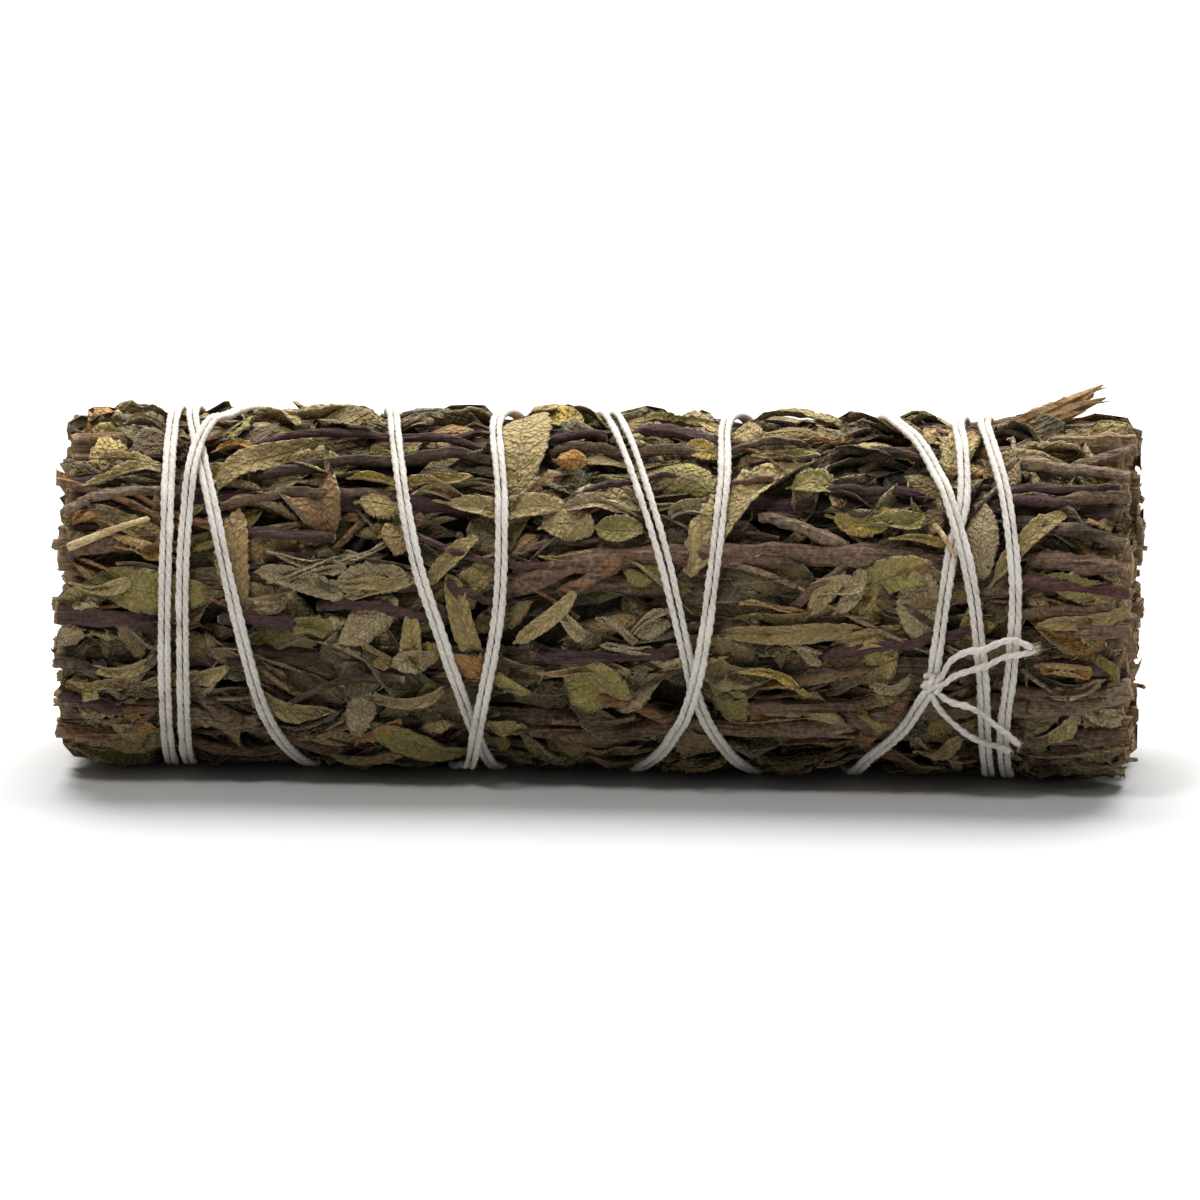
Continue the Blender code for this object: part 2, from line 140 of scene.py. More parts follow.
# Twigs that show on the outside: (finish, half thickness, ((place, angle), ...)).
OUTSIDE_TWIGS = (
    ("grey", 0.48, ((-48.2, 54), (-44.0, 48), (-38.6, 44))),
    ("brown", 0.42, ((-35.6, 50), (-27.0, 47), (-18.0, 43))),
    ("dark", 0.52, ((-31.6, 39), (-23.2, 32), (-15.6, 28), (-8.6, 25))),
    ("purple", 0.38, ((-33.0, 29), (-23.5, 19), (-16.4, 20), (-9.3, 23))),
    ("purple", 0.42, ((-6.6, 24), (0.7, 12))),
    ("purple", 0.55, ((2.8, 10), (11.5, 17))),
    ("brown", 0.52, ((-4.2, 25), (3.0, 23), (10.2, 23))),
    ("purple", 0.28, ((-2.4, 48), (3.3, 41), (8.0, 38), (9.9, 39))),
    ("red", 0.34, ((11.0, 38), (16.8, 38))),
    ("brown", 0.38, ((12.0, 22), (19.6, 18))),
    ("red", 1.02, ((-7.6, 78), (-5.0, 74), (-2.5, 70), (2.7, 65.5), (9.7, 64), (24.9, 64), (33.6, 64))),
    ("rust", 0.62, ((-2.4, 78), (3.6, 67))),
    ("grey", 0.55, ((15.6, 51), (23.4, 60))),
    ("brown", 0.42, ((23.9, 68), (21.2, 74), (19.0, 82))),
    ("purple", 0.42, ((21.4, 41), (30.6, 43))),
    ("dark", 0.42, ((21.6, 24), (31.0, 25))),
    ("grey", 0.58, ((37.0, 27), (43.0, 32), (49.2, 36))),
    ("purple", 0.42, ((36.4, 40), (48.6, 39))),
    ("purple", 0.46, ((37.0, 44), (44.5, 47))),
    ("brown", 0.55, ((42.0, 44), (49.4, 44))),
    ("dark", 0.62, ((38.0, 51), (43.5, 56), (49.3, 62))),
    ("red", 0.78, ((40.6, 65), (49.5, 69))),
    ("magenta", 0.56, ((38.6, 72), (44.0, 76), (49.8, 78))),
    ("brown", 0.55, ((38.4, 84), (48.2, 80))),
    ("red", 0.74, ((44.0, 90), (49.7, 90))),
    ("brown", 0.46, ((43.0, 32), (49.6, 22))),
    ("pale", 0.9, ((41.0, 15), (49.5, 14))),
    ("brown", 0.5, ((33.0, -12), (42.4, -11))),
    ("grey", 1.2, ((37.4, 121), (41.6, 119), (45.0, 117), (49.7, 112))),
    ("brown", 0.86, ((37.0, 134), (49.5, 131))),
    ("brown", 0.55, ((37.4, 110), (44.0, 113), (47.2, 112))),
    ("brown", 0.86, ((22.0, 125), (30.0, 122.5), (38.8, 118), (43.0, 116))),
    ("rust", 0.72, ((24.2, 138), (29.2, 117))),
    ("purple", 0.5, ((20.6, 99), (28.0, 94), (35.6, 88))),
    ("red", 0.78, ((-48.4, 68), (-42.6, 66))),
    ("purple", 0.8, ((-48.8, 88), (-45.0, 89), (-39.4, 91))),
    ("purple", 0.46, ((-31.6, 60), (-23.4, 60))),
    ("purple", 0.55, ((-33.6, 90), (-26.4, 92))),
    ("purple", 0.46, ((-24.6, 85), (-22.0, 83), (-19.8, 83), (-14.3, 87), (-12.6, 88))),
    ("purple", 0.38, ((-13.2, 76), (-8.0, 82))),
    ("purple", 0.62, ((-4.6, 101), (2.0, 99), (8.6, 98))),
    ("dark", 0.55, ((-49.0, 104), (-44.6, 107))),
    ("brown", 0.66, ((-36.0, 120), (-29.5, 135), (-22.6, 151))),
    ("grey", 0.62, ((-37.8, 126), (-30.0, 130))),
    ("brown", 0.55, ((-38.4, 145), (-27.0, 149))),
    ("rust", 0.55, ((-49.2, 135), (-42.0, 136))),
    ("rust", 0.66, ((-43.4, 123), (-37.8, 123))),
    ("purple", 0.66, ((-48.8, 116), (-42.6, 124))),
    ("brown", 0.68, ((-5.6, 137), (6.0, 131), (15.0, 128), (24.9, 126))),
    ("rust", 0.55, ((0.0, 115), (4.4, 120), (7.8, 130))),
    ("brown", 0.6, ((13.6, 118), (26.0, 115))),
    ("brown", 0.7, ((-30.0, -36), (-14.0, -30), (2.0, -27))),
    ("purple", 0.55, ((4.0, -22), (20.0, -28), (34.0, -31))),
    ("grey", 0.85, ((-46.0, -52), (-30.0, -57), (-12.0, -62))),
    ("red", 0.7, ((-14.0, -82), (4.0, -76), (24.0, -78), (40.0, -74))),
    ("dark", 0.6, ((-49.0, -84), (-34.0, -88), (-20.0, -86))),
    ("brown", 0.9, ((6.0, -103), (24.0, -106), (49.2, -101))),
    ("purple", 0.5, ((-40.0, -112), (-26.0, -116), (-16.0, -113))),
    ("grey", 0.6, ((-12.0, -124), (6.0, -131), (22.0, -128))),
    ("brown", 0.5, ((30.0, -48), (49.3, -44))),
    ("dark", 0.6, ((-47.0, 164), (-20.0, 171), (4.0, 168))),
    ("brown", 0.7, ((8.0, 186), (28.0, 181), (48.0, 190))),
    ("grey", 0.6, ((-44.0, 199), (-22.0, 204), (-4.0, 200))),
)


# Leaves that show on the outside: (tone, (place, angle) of the base, of the tip, width, fold, roll).
LAID_LEAVES = (
    ("olive", (-34.7, 48), (-25.8, 24), 3.0, 0.25, 0.3), ("olive", (-46.4, 33), (-39.6, 33), 1.8, 1.0, 0.0),
    ("sage", (-46.8, 46), (-39.5, 37), 1.9, 0.8, 0.2), ("ochre", (-35.3, 27), (-31.5, 27), 1.6, 0.2, 1.2),
    ("tan", (-32.1, 51), (-31.7, 85), 3.0, 0.3, -0.4), ("ochre", (-44.0, 64), (-38.8, 68), 4.4, 0.5, 1.4),
    ("sage", (-47.6, 78), (-41.8, 77), 2.4, 1.0, 0.2), ("grey", (-29.5, 67), (-22.0, 73), 2.6, 0.9, 0.4),
    ("grey", (-29.4, 77), (-21.2, 69), 2.2, 0.6, 1.2), ("grey", (-23.5, 78), (-16.2, 76), 3.0, 0.4, -0.6),
    ("grey", (-23.6, 70), (-18.4, 63), 1.5, 0.1, 2.6), ("moss", (-27.2, 91), (-23.8, 94), 3.6, 0.2, 1.5),
    ("grey", (-21.6, 8), (-15.2, 7), 1.6, 0.6, 0.3), ("moss", (-14.8, -5), (-9.6, -8), 1.2, 0.1, 2.4),
    ("sage", (-8.0, -5), (-6.9, 44), 5.4, 0.15, 0.2), ("yellow", (-22.6, 39), (-11.0, 38), 2.0, 0.5, 0.8),
    ("olive", (-21.7, 50), (-17.0, 49), 3.2, 0.2, -0.5), ("sage", (-14.4, 48), (-2.3, 49), 3.0, 0.35, 0.5),
    ("ochre", (-3.8, 30), (-0.6, 30), 2.0, 0.1, -0.6), ("grey", (-2.6, 51), (3.7, 51), 2.0, 0.5, 0.3),
    ("sage", (-4.8, 58), (0.5, 58), 3.6, 0.25, -0.4), ("moss", (0.4, 57), (5.0, 57), 3.0, 0.3, 0.4),
    ("yellow", (-4.6, 67), (0.9, 66), 1.2, 0.9, 0.2), ("tan", (-19.4, 62), (-15.8, 62), 3.7, 0.2, -0.8),
    ("olive", (-14.7, 78), (-10.2, 61), 2.0, 0.3, 0.5), ("olive", (-13.2, 72), (-10.0, 104), 2.8, 0.5, 0.3),
    ("grey", (0.7, 87), (4.6, 95), 2.2, 0.3, 2.2), ("grey", (3.4, 94), (7.6, 85), 1.6, 0.9, 0.4),
    ("grey", (1.2, 96), (6.0, 97), 2.0, 0.2, 2.0), ("olive", (-16.6, 85), (-15.4, 104), 2.8, 0.5, 0.4),
    ("yellow", (-18.0, 104), (-13.5, 101), 2.6, 0.1, -0.5), ("moss", (3.7, 2), (11.0, 1), 1.8, 0.3, 0.8),
    ("yellow", (8.2, 25), (11.9, 23), 2.4, 0.2, 0.4), ("sage", (12.2, 13), (15.1, 18), 2.8, 0.6, -0.3),
    ("moss", (14.4, 28), (20.8, 27), 1.4, 0.4, 0.8), ("ochre", (19.0, 18), (22.9, 18), 1.4, 0.3, 2.0),
    ("sage", (20.2, 27), (9.0, 73), 5.2, 0.45, 0.35), ("moss", (17.6, 40), (22.7, 39), 2.8, 0.2, 0.4),
    ("grey", (7.0, 53), (11.5, 50), 3.4, 0.6, 0.8), ("moss", (3.3, 72), (6.2, 72), 2.2, 0.2, -1.0),
    ("yellow", (21.4, 52), (28.3, 49), 3.0, 0.3, -0.6), ("moss", (24.3, 55), (30.6, 51), 3.0, 0.7, 0.4),
    ("yellow", (27.4, 60), (33.5, 60), 1.0, 0.8, 0.0), ("ochre", (13.8, 82), (20.0, 84), 1.5, 0.2, 2.4),
    ("grey", (19.7, 79), (25.4, 75), 3.0, 0.5, 0.7), ("olive", (11.4, 92), (25.4, 90), 2.4, 0.5, 0.4),
    ("sage", (17.1, 94), (21.7, 99), 2.2, 0.3, 1.8), ("grey", (36.0, 42), (36.2, 72), 3.4, 0.1, -0.5),
    ("grey", (30.6, 66), (30.8, 93), 4.6, 0.15, 0.3), ("olive", (36.5, 76), (43.4, 49), 2.4, 0.5, 0.3),
    ("olive", (38.4, 24), (44.6, 21), 2.2, 0.4, 2.2), ("grey", (37.6, 12), (38.4, 29), 1.6, 0.2, 2.8),
    ("moss", (41.0, 70), (49.6, 75), 2.2, 0.3, -0.5), ("ochre", (40.8, 101), (46.1, 103), 3.4, 0.2, 2.0),
    ("sage", (-45.8, 106), (-39.0, 104), 1.8, 0.6, 0.4), ("olive", (-47.8, 111), (-41.0, 109), 1.5, 0.3, 0.9),
    ("sage", (-41.3, 113), (-33.0, 106), 2.0, 0.5, 0.3), ("ochre", (-42.4, 126), (-39.2, 142), 1.8, 0.5, 0.0),
    ("sage", (-44.6, 127), (-38.8, 152), 2.4, 0.3, -0.4), ("grey", (-30.5, 74), (-22.4, 82), 2.6, 0.5, 0.3),
    ("grey", (-49.0, 97), (-46.2, 95), 2.4, 0.1, -0.4), ("sage", (-23.6, 76), (-17.8, 78), 2.0, 0.7, 0.5),
    ("olive", (-23.5, 83), (-15.4, 75), 1.5, 0.5, 0.5), ("grey", (-23.5, 98), (-17.4, 82), 3.6, 0.3, -0.6),
    ("sage", (-6.8, 96), (-1.2, 78), 1.7, 0.4, 0.3), ("grey", (-3.0, 82), (-0.2, 94), 2.0, 0.8, 0.2),
    ("grey", (-17.8, 105), (-13.7, 101), 2.8, 0.2, 0.6), ("sage", (-23.5, 111), (-12.9, 113), 1.9, 0.4, 0.8),
    ("grey", (-21.0, 113), (-21.4, 133), 2.6, 0.2, -0.5),
    ("ochre", (-21.8, 142), (-17.3, 126), 1.6, 0.4, 0.3),
    ("sage", (-25.2, 152), (-14.8, 149), 1.8, 0.4, 0.4), ("tan", (-4.7, 106), (4.0, 105), 1.7, 0.5, 0.9),
    ("grey", (4.0, 91), (7.6, 89), 1.7, 0.2, -0.4), ("yellow", (13.6, 104), (20.6, 113), 1.2, 0.8, 0.0),
    ("grey", (18.4, 91), (21.4, 101), 1.4, 0.7, 0.5), ("sage", (19.7, 87), (23.4, 70), 1.9, 0.3, -0.4),
    ("grey", (22.2, 85), (25.2, 69), 1.6, 0.4, -0.5), ("moss", (12.7, 106), (13.3, 127), 3.8, 0.15, -0.3),
    ("olive", (41.1, 87), (49.8, 81), 2.0, 0.4, 0.6), ("sage", (40.4, 135), (45.0, 119), 2.4, 0.6, 0.2),
    ("grey", (45.4, 119), (49.7, 119), 1.7, 0.2, -0.3), ("sage", (29.4, 142), (34.0, 133), 2.0, 0.5, 0.5),
    ("grey", (25.8, 109), (29.5, 106), 2.0, 0.5, 0.6), ("tan", (32.4, 95), (35.6, 99), 1.4, 0.6, 0.8),
    ("olive", (-43.0, -7), (-36.0, 1), 2.6, 0.3, 0.6), ("sage", (-29.0, 3), (-21.0, -5), 2.4, 0.5, 0.5),
    ("moss", (-4.6, -9), (2.0, -2), 2.4, 0.3, 0.8), ("sage", (13.4, -6), (21.6, 2), 2.6, 0.4, 0.3),
    ("olive", (24.0, 4), (31.0, -6), 2.4, 0.3, 0.7), ("grey", (-43.8, 12), (-37.4, 17), 2.2, 0.5, 0.9),
)


def smooth_route(points):
    """A function from the whole angle travelled to the place along the bunch, smooth through the points."""
    knots = [(FULL_TURN * turn + angle, along) for turn, angle, along in points]

    def slope(i):
        """How fast the route moves along at one of its points."""
        before = knots[max(i - 1, 0)]
        after = knots[min(i + 1, len(knots) - 1)]
        return (after[1] - before[1]) / (after[0] - before[0])

    def along_at(travelled):
        """The place along the bunch at an angle travelled."""
        i = 0
        while i < len(knots) - 2 and travelled > knots[i + 1][0]:
            i += 1
        (low, first), (high, last) = knots[i], knots[i + 1]
        span = high - low
        share = (travelled - low) / span
        return (
            first * (1 + 2 * share) * (1 - share) ** 2 + span * slope(i) * share * (1 - share) ** 2
            + last * share**2 * (3 - 2 * share) - span * slope(i + 1) * share**2 * (1 - share)
        )

    return along_at


along_at = smooth_route(WINDING)


def twine_lift(travelled):
    """How far the twine rises, from 0 to 1, to pass over the turns that lie under it."""
    lift = 0
    for nearby in range(-CROSSING_RAMP, CROSSING_RAMP + 1, 2):
        angle = travelled + nearby
        beneath = angle + FULL_TURN
        while beneath < WINDING_END:
            if abs(along_at(angle) - along_at(beneath)) < CROSSING_REACH:
                lift = max(lift, 0.5 + 0.5 * math.cos(math.pi * nearby / CROSSING_RAMP))
            beneath += FULL_TURN
    return lift


def twine_radius(angle):
    """The winding's radius, pressed in along the underside so that it clears the surface."""
    lowest = AXIS_HEIGHT - TWINE_HALF_THICKNESS - TWINE_CLEARANCE
    downward = -math.cos(math.radians(angle))
    return min(TWINE_RADIUS, lowest / downward) if downward > 0.5 else TWINE_RADIUS


def twine_beds():
    """For each whole degree round the bunch, the places along it where the twine lies."""
    most = WINDING[-1][0] + 1
    beds = np.full((FULL_TURN, most), 1000.0)
    for degree in range(FULL_TURN):
        for turn in range(most):
            travelled = FULL_TURN * turn + degree
            if WINDING_START <= travelled <= WINDING_END:
                beds[degree, turn] = along_at(travelled)
    return beds


TWINE_BEDS = twine_beds()


def place(along, angle, radius):
    """Points in millimetres at places along the bunch, angles round it and radii."""
    turned = np.radians(angle)
    return np.stack((along + 0 * turned, -radius * np.sin(turned), AXIS_HEIGHT + radius * np.cos(turned)), -1)


def from_twine(along, angle):
    """How far each place is from the nearest turn of the twine, along the bunch."""
    degrees = np.floor(np.asarray(angle) % FULL_TURN).astype(int) % FULL_TURN
    return np.abs(TWINE_BEDS[degrees] - np.asarray(along)[..., None]).min(-1)


def pressed(along, angle, radius, bite=1.2, reach=1.6):
    """The radius of soft growth after the twine pulls into it."""
    near = np.exp(-((from_twine(along, angle) / reach) ** 2))
    return radius - bite * near * np.clip((radius - 12.4) / 4.6, 0, 1.15)


def settled(points, lowest=0.05, softness=0.5):
    """Points moved up smoothly where they would go below the surface the bunch lies on."""
    z = points[..., 2]
    low = z < lowest + softness
    z[low] = lowest + softness * np.exp((z[low] - lowest - softness) / softness)
    return points


class Growth:
    """Collects the shells of one piece: corners, faces, and what each corner says to the materials."""

    def __init__(self):
        self.points, self.faces, self.slots, self.plans, self.tones = [], [], [], [], []
        self.marks = {}
        self.count = 0

    def add(self, points, faces, tone, plan=None, slots=None, **marks):
        """Adds one closed shell in millimetres, with its tone and its place on its own plan."""
        total = len(points)
        self.points.append(points)
        self.faces.extend([tuple(corner + self.count for corner in face) for face in faces])
        self.slots.extend(slots if slots is not None else [0] * len(faces))
        self.plans.append(plan if plan is not None else np.zeros((total, 2)))
        self.tones.append(np.broadcast_to(np.asarray(tone, float), (total, 3)))
        for name in ("under", "heart", "hollow"):
            self.marks.setdefault(name, []).append(np.broadcast_to(marks.get(name, 0.0), (total,)))
        self.count += total

    def finish(self, name, slot, finishes, replaced=(), crease=None):
        """Makes the piece, gives it its materials and lets it ride with the bunch."""
        mesh = bpy.data.meshes.new(name)
        points = np.concatenate(self.points) * MM
        mesh.from_pydata(points.tolist(), [], self.faces)
        corners = np.zeros(len(mesh.loops), np.int32)
        mesh.loops.foreach_get("vertex_index", corners)
        plan = mesh.uv_layers.new(name="plan")
        plan.data.foreach_set("uv", np.concatenate(self.plans)[corners].astype(np.float32).ravel())
        tone = mesh.color_attributes.new("tone", "FLOAT_COLOR", "POINT")
        tones = np.concatenate(self.tones)
        opaque = np.hstack((tones, np.ones((len(tones), 1))))
        tone.data.foreach_set("color", opaque.astype(np.float32).ravel())
        for mark, values in self.marks.items():
            attribute = mesh.attributes.new(mark, "FLOAT", "POINT")
            attribute.data.foreach_set("value", np.concatenate(values).astype(np.float32))
        for finish in finishes:
            mesh.materials.append(finish)
        mesh.polygons.foreach_set("material_index", np.array(self.slots, np.int32))
        mesh.shade_smooth()
        if crease:
            mesh.set_sharp_from_angle(angle=math.radians(crease))
        mesh.update()
        piece = bpy.data.objects.new(name, mesh)
        bpy.context.scene.collection.objects.link(piece)
        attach(piece, "root")
        if replaced:
            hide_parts(*replaced)
        return piece


def deselect():
    """Leaves nothing selected."""
    bpy.ops.object.select_all(action="DESELECT")


def take_blank():
    """The corners and faces of the active object, which is then removed."""
    blank = bpy.context.view_layer.objects.active
    points = np.array([corner.co[:] for corner in blank.data.vertices])
    faces = [tuple(face.vertices) for face in blank.data.polygons]
    bpy.data.objects.remove(blank, do_unlink=True)
    return points, faces


class Blade:
    """A closed, lens-shaped leaf blank: a ball with its poles at base and tip, opened out flat."""

    def __init__(self, around, rings):
        deselect()
        lying = (0, math.pi / 2, 0)
        bpy.ops.mesh.primitive_uv_sphere_add(segments=around, ring_count=rings, radius=1, rotation=lying)
        bpy.ops.object.transform_apply(location=False, rotation=True, scale=True)
        points, faces = take_blank()
        self.faces = [tuple(reversed(face)) for face in faces]
        self.row = np.rint(np.arccos(np.clip(-points[:, 0], -1, 1)) / math.pi * rings).astype(int)
        turned = np.arctan2(points[:, 2], points[:, 1])
        self.across = np.cos(turned)
        self.side = np.sin(turned)
        ends = (self.row == 0) | (self.row == rings)
        self.across[ends] = 0
        self.side[ends] = 0
        self.rings = rings
        self.along = self.row / rings


def make_stalk_blank(sides, stations):
    """A closed round stalk along Z from 0 to 1 and of radius 1, cut into even stations, with stepped caps."""
    deselect()
    bpy.ops.mesh.primitive_cylinder_add(vertices=sides, radius=1, depth=1, location=(0, 0, 0.5))
    bpy.ops.object.transform_apply(location=True, rotation=False, scale=False)
    bpy.ops.object.mode_set(mode="EDIT")
    bpy.ops.mesh.select_mode(type="EDGE")
    bpy.ops.mesh.select_all(action="DESELECT")
    bpy.ops.object.mode_set(mode="OBJECT")
    mesh = bpy.context.object.data
    for edge in mesh.edges:
        low, high = (mesh.vertices[corner].co.z for corner in edge.vertices)
        edge.select = abs(low - high) > 0.5
    bpy.ops.object.mode_set(mode="EDIT")
    bpy.ops.mesh.subdivide(number_cuts=stations - 1)
    bpy.ops.mesh.select_mode(type="FACE")
    bpy.ops.mesh.select_all(action="DESELECT")
    bpy.ops.object.mode_set(mode="OBJECT")
    for face in mesh.polygons:
        face.select = len(face.vertices) > 4
    bpy.ops.object.mode_set(mode="EDIT")
    bpy.ops.mesh.inset(thickness=0.16, use_individual=True)
    bpy.ops.mesh.inset(thickness=0.4, use_individual=True)
    bpy.ops.mesh.poke()
    bpy.ops.object.mode_set(mode="OBJECT")
    points, faces = take_blank()

    def on_cap(face):
        """Whether a face lies wholly on one end of the stalk."""
        heights = [points[corner][2] for corner in face]
        return max(heights) < 1e-6 or min(heights) > 1 - 1e-6

    return points, faces, [1 if on_cap(face) else 0 for face in faces]


def curve_through(stations, count):
    """Smooth values at even shares of the way through rows of given stations."""
    stations = np.asarray(stations, float)
    if len(stations) == 2:
        share = np.linspace(0, 1, count)[:, None]
        return stations[0] * (1 - share) + stations[1] * share
    gaps = np.linalg.norm(np.diff(stations[:, :2], axis=0), axis=1)
    times = np.concatenate(([0], np.cumsum(gaps)))
    slopes = np.gradient(stations, times, axis=0)
    wanted = np.linspace(0, times[-1], count)
    i = np.clip(np.searchsorted(times, wanted) - 1, 0, len(times) - 2)
    span = times[i + 1] - times[i]
    s = ((wanted - times[i]) / span)[:, None]
    span = span[:, None]
    return (
        stations[i] * (1 + 2 * s) * (1 - s) ** 2 + slopes[i] * span * s * (1 - s) ** 2
        + stations[i + 1] * s**2 * (3 - 2 * s) - slopes[i + 1] * span * s**2 * (1 - s)
    )


def route_on_bunch(stops, count):
    """Smooth places, angles and radii through given ones."""
    row = curve_through([(along, angle / DEGREES_PER_MM, radius) for along, angle, radius in stops], count)
    return row[:, 0], row[:, 1] * DEGREES_PER_MM, row[:, 2]


def travel_frames(centres, away):
    """Tangents, sideways and upward directions along a row of centres, where away counts as up."""
    tangents = np.gradient(centres, axis=0)
    tangents /= np.linalg.norm(tangents, axis=1)[:, None]
    sides = np.cross(away, tangents)
    sides /= np.linalg.norm(sides, axis=1)[:, None]
    return tangents, sides, np.cross(tangents, sides)


def outward(angle):
    """Directions that point straight out of the bunch."""
    turned = np.radians(angle)
    return np.stack((0 * turned, -np.sin(turned), np.cos(turned)), -1)


def bend_stalk(blank, centres, away, half_sizes, draw, roughness=0.06, joints=(), cut_depth=0.22):
    """The blank stalk bent along a row of centres, with ridged bark, swollen joints and ragged cut ends.

    The mark called heart is -1 along the bark and runs from 0 at the rim of a cut end to 1 at its pith.
    """
    points = blank[0]
    radius = np.hypot(points[:, 0], points[:, 1])
    turned = np.arctan2(points[:, 1], points[:, 0])
    share = points[:, 2]
    count = len(centres)
    position = share * (count - 1)
    low = np.clip(np.floor(position).astype(int), 0, count - 2)
    mix = (position - low)[:, None]

    def between(values):
        """A row of values at each corner's own place along the stalk."""
        return values[low] * (1 - mix) + values[low + 1] * mix

    tangents, sides, ups = travel_frames(centres, away)
    size = between(np.asarray(half_sizes, float)[:, None])[:, 0]
    phases = draw.uniform(0, 2 * math.pi, 6)
    length = float(np.linalg.norm(np.diff(centres, axis=0), axis=1).sum())
    walked = share * length
    ridges = (
        np.cos(3 * turned + phases[0] + 0.25 * walked) + np.cos(5 * turned + phases[1] - 0.18 * walked)
        + 0.8 * np.cos(8 * turned + phases[2] + 0.3 * np.sin(0.9 * walked + phases[3]))
    )
    lumps = np.sin(1.3 * walked + phases[4]) * np.cos(turned + phases[5]) + draw.normal(0, 0.5, len(points))
    swell = 1 + roughness * ridges + roughness * 0.9 * lumps
    for joint, grown in joints:
        swell += grown * np.exp(-(((walked - joint) / (0.55 + 0.4 * float(size.mean()))) ** 2))
    reach = radius * size * np.where(radius > 0.9, swell, 1)
    ends = (share < 1e-6) | (share > 1 - 1e-6)
    jag = np.where(ends, draw.uniform(-cut_depth, cut_depth * 0.4, len(points)), 0)
    jag = np.where(share > 0.5, jag, -jag)
    shaped = (
        between(centres) + reach[:, None] * (np.cos(turned)[:, None] * between(sides)
        + np.sin(turned)[:, None] * between(ups)) + jag[:, None] * between(tangents)
    )
    heart = np.where(ends, 1 - radius, -1)
    plan = np.stack((turned / (2 * math.pi) + 0.5, walked), -1)
    return shaped, plan, heart


# One leaf: the depth of its teeth as a share of its width, half the width of its stalk, its thickness and
# the least curl; how far leaves may stand out of the bunch, and the least radius they keep.
TOOTH_DEPTH = 0.07
STALK_HALF_WIDTH = 0.16
LEAF_THICKNESS = 0.26
FLATTEST = 1e-3
MOST_PROUD = 0.8
DEEPEST = 1.5


def leaf_section(blade, look):
    """A leaf's corners sideways and up from its midrib, after its fold, roll and thickness."""
    stalk = look["stalk"]
    grown = np.clip((blade.along - stalk) / (1 - stalk), 0, 1)
    outline = np.sin(math.pi * grown ** look["widest"]) ** look["blunt"]
    teeth = look.get("teeth", 0)
    if teeth:
        outline = outline * (1 + TOOTH_DEPTH * np.abs(blade.across) * np.sin(2 * math.pi * teeth * grown))
    half_width = STALK_HALF_WIDTH + look["width"] / 2 * outline
    out = np.abs(blade.across) * half_width
    which = np.sign(blade.across)
    uneven = np.where(which > 0, look["uneven"], 1 / look["uneven"])
    fold = look["fold"] * (0.55 + 0.45 * np.cos(math.pi * (blade.along - 0.3)))
    curl = look["roll"] * uneven / (look["width"] / 2)
    curl = np.where(np.abs(curl) < FLATTEST, FLATTEST, curl)
    turned = fold + curl * out
    half = look.get("thickness", LEAF_THICKNESS) / 2 * (0.75 + 0.5 * np.exp(-((out / 0.5) ** 2)))
    sideways = which * (np.sin(turned) - np.sin(fold)) / curl - which * np.sin(turned) * blade.side * half
    up = (np.cos(fold) - np.cos(turned)) / curl + np.cos(turned) * blade.side * half
    return sideways, up, grown


def leaf_spine(blade, look, phases):
    """The centres of a leaf's rows, and sideways and up at each, after its bend, sway, tilt and twist."""
    rows = np.arange(blade.rings + 1) / blade.rings
    rise = look["bend"] * (rows - 0.5) * 2 + look.get("wave", 0.3) * np.sin(7 * rows + phases[0])
    sway = look["sway"] * (rows - 0.5) * 2 + 0.12 * np.sin(6 * rows + phases[1])
    forward = np.stack((np.cos(rise) * np.cos(sway), np.cos(rise) * np.sin(sway), np.sin(rise)), -1)
    step = look["length"] / blade.rings
    centres = np.vstack((np.zeros(3), np.cumsum((forward[1:] + forward[:-1]) / 2 * step, axis=0)))
    centres -= centres[0] * 0.5 + centres[-1] * 0.5
    centres[:, 2] -= centres[:, 2].mean()
    flat_side = np.stack((-np.sin(sway), np.cos(sway), 0 * sway), -1)
    up = np.cross(forward, flat_side)
    turn = (look["tilt"] + look["twist"] * (rows - 0.5))[:, None]
    sideways = flat_side * np.cos(turn) + up * np.sin(turn)
    return centres, sideways, up * np.cos(turn) - flat_side * np.sin(turn)


def shape_leaf(blade, look, draw):
    """One leaf laid on the bunch: look holds its place, size, fold, roll, bend and twist."""
    from_rib, height, grown = leaf_section(blade, look)
    phases = draw.uniform(0, 2 * math.pi, 6)
    centres, sideways, ups = leaf_spine(blade, look, phases)
    walked = blade.along * look["length"]
    wrinkle = look["crumple"] * (
        np.sin(1.9 * walked + 2.6 * from_rib + phases[2])
        + 0.7 * np.sin(3.1 * walked - 3.3 * from_rib + phases[3])
        + 0.9 * np.sin(5.2 * walked + phases[4]) * np.abs(blade.across) ** 3
    )
    height = height + wrinkle * np.clip(grown * 4, 0, 1)
    row = blade.row
    local = centres[row] + from_rib[:, None] * sideways[row] + height[:, None] * ups[row]
    heading = math.radians(look["heading"])
    along = look["place"] + math.cos(heading) * local[:, 0] - math.sin(heading) * local[:, 1]
    around = math.sin(heading) * local[:, 0] + math.cos(heading) * local[:, 1]
    angle = look["angle"] + np.degrees(around / LEAF_RADIUS)
    radius = look["radius"] + local[:, 2]
    proud = LEAF_RADIUS + MOST_PROUD * np.tanh((radius - LEAF_RADIUS) / MOST_PROUD)
    radius = np.maximum(np.where(radius > LEAF_RADIUS, proud, radius), DEEPEST)
    radius = pressed(along, angle, radius)
    sawn = draw.uniform(*SAWN_OFF)
    points = settled(place(np.clip(along, -sawn, sawn), angle, radius))
    plan = np.stack((blade.across * 0.5 + 0.5, blade.along), -1)
    return points, plan, np.clip(0.5 - blade.side, 0, 1)
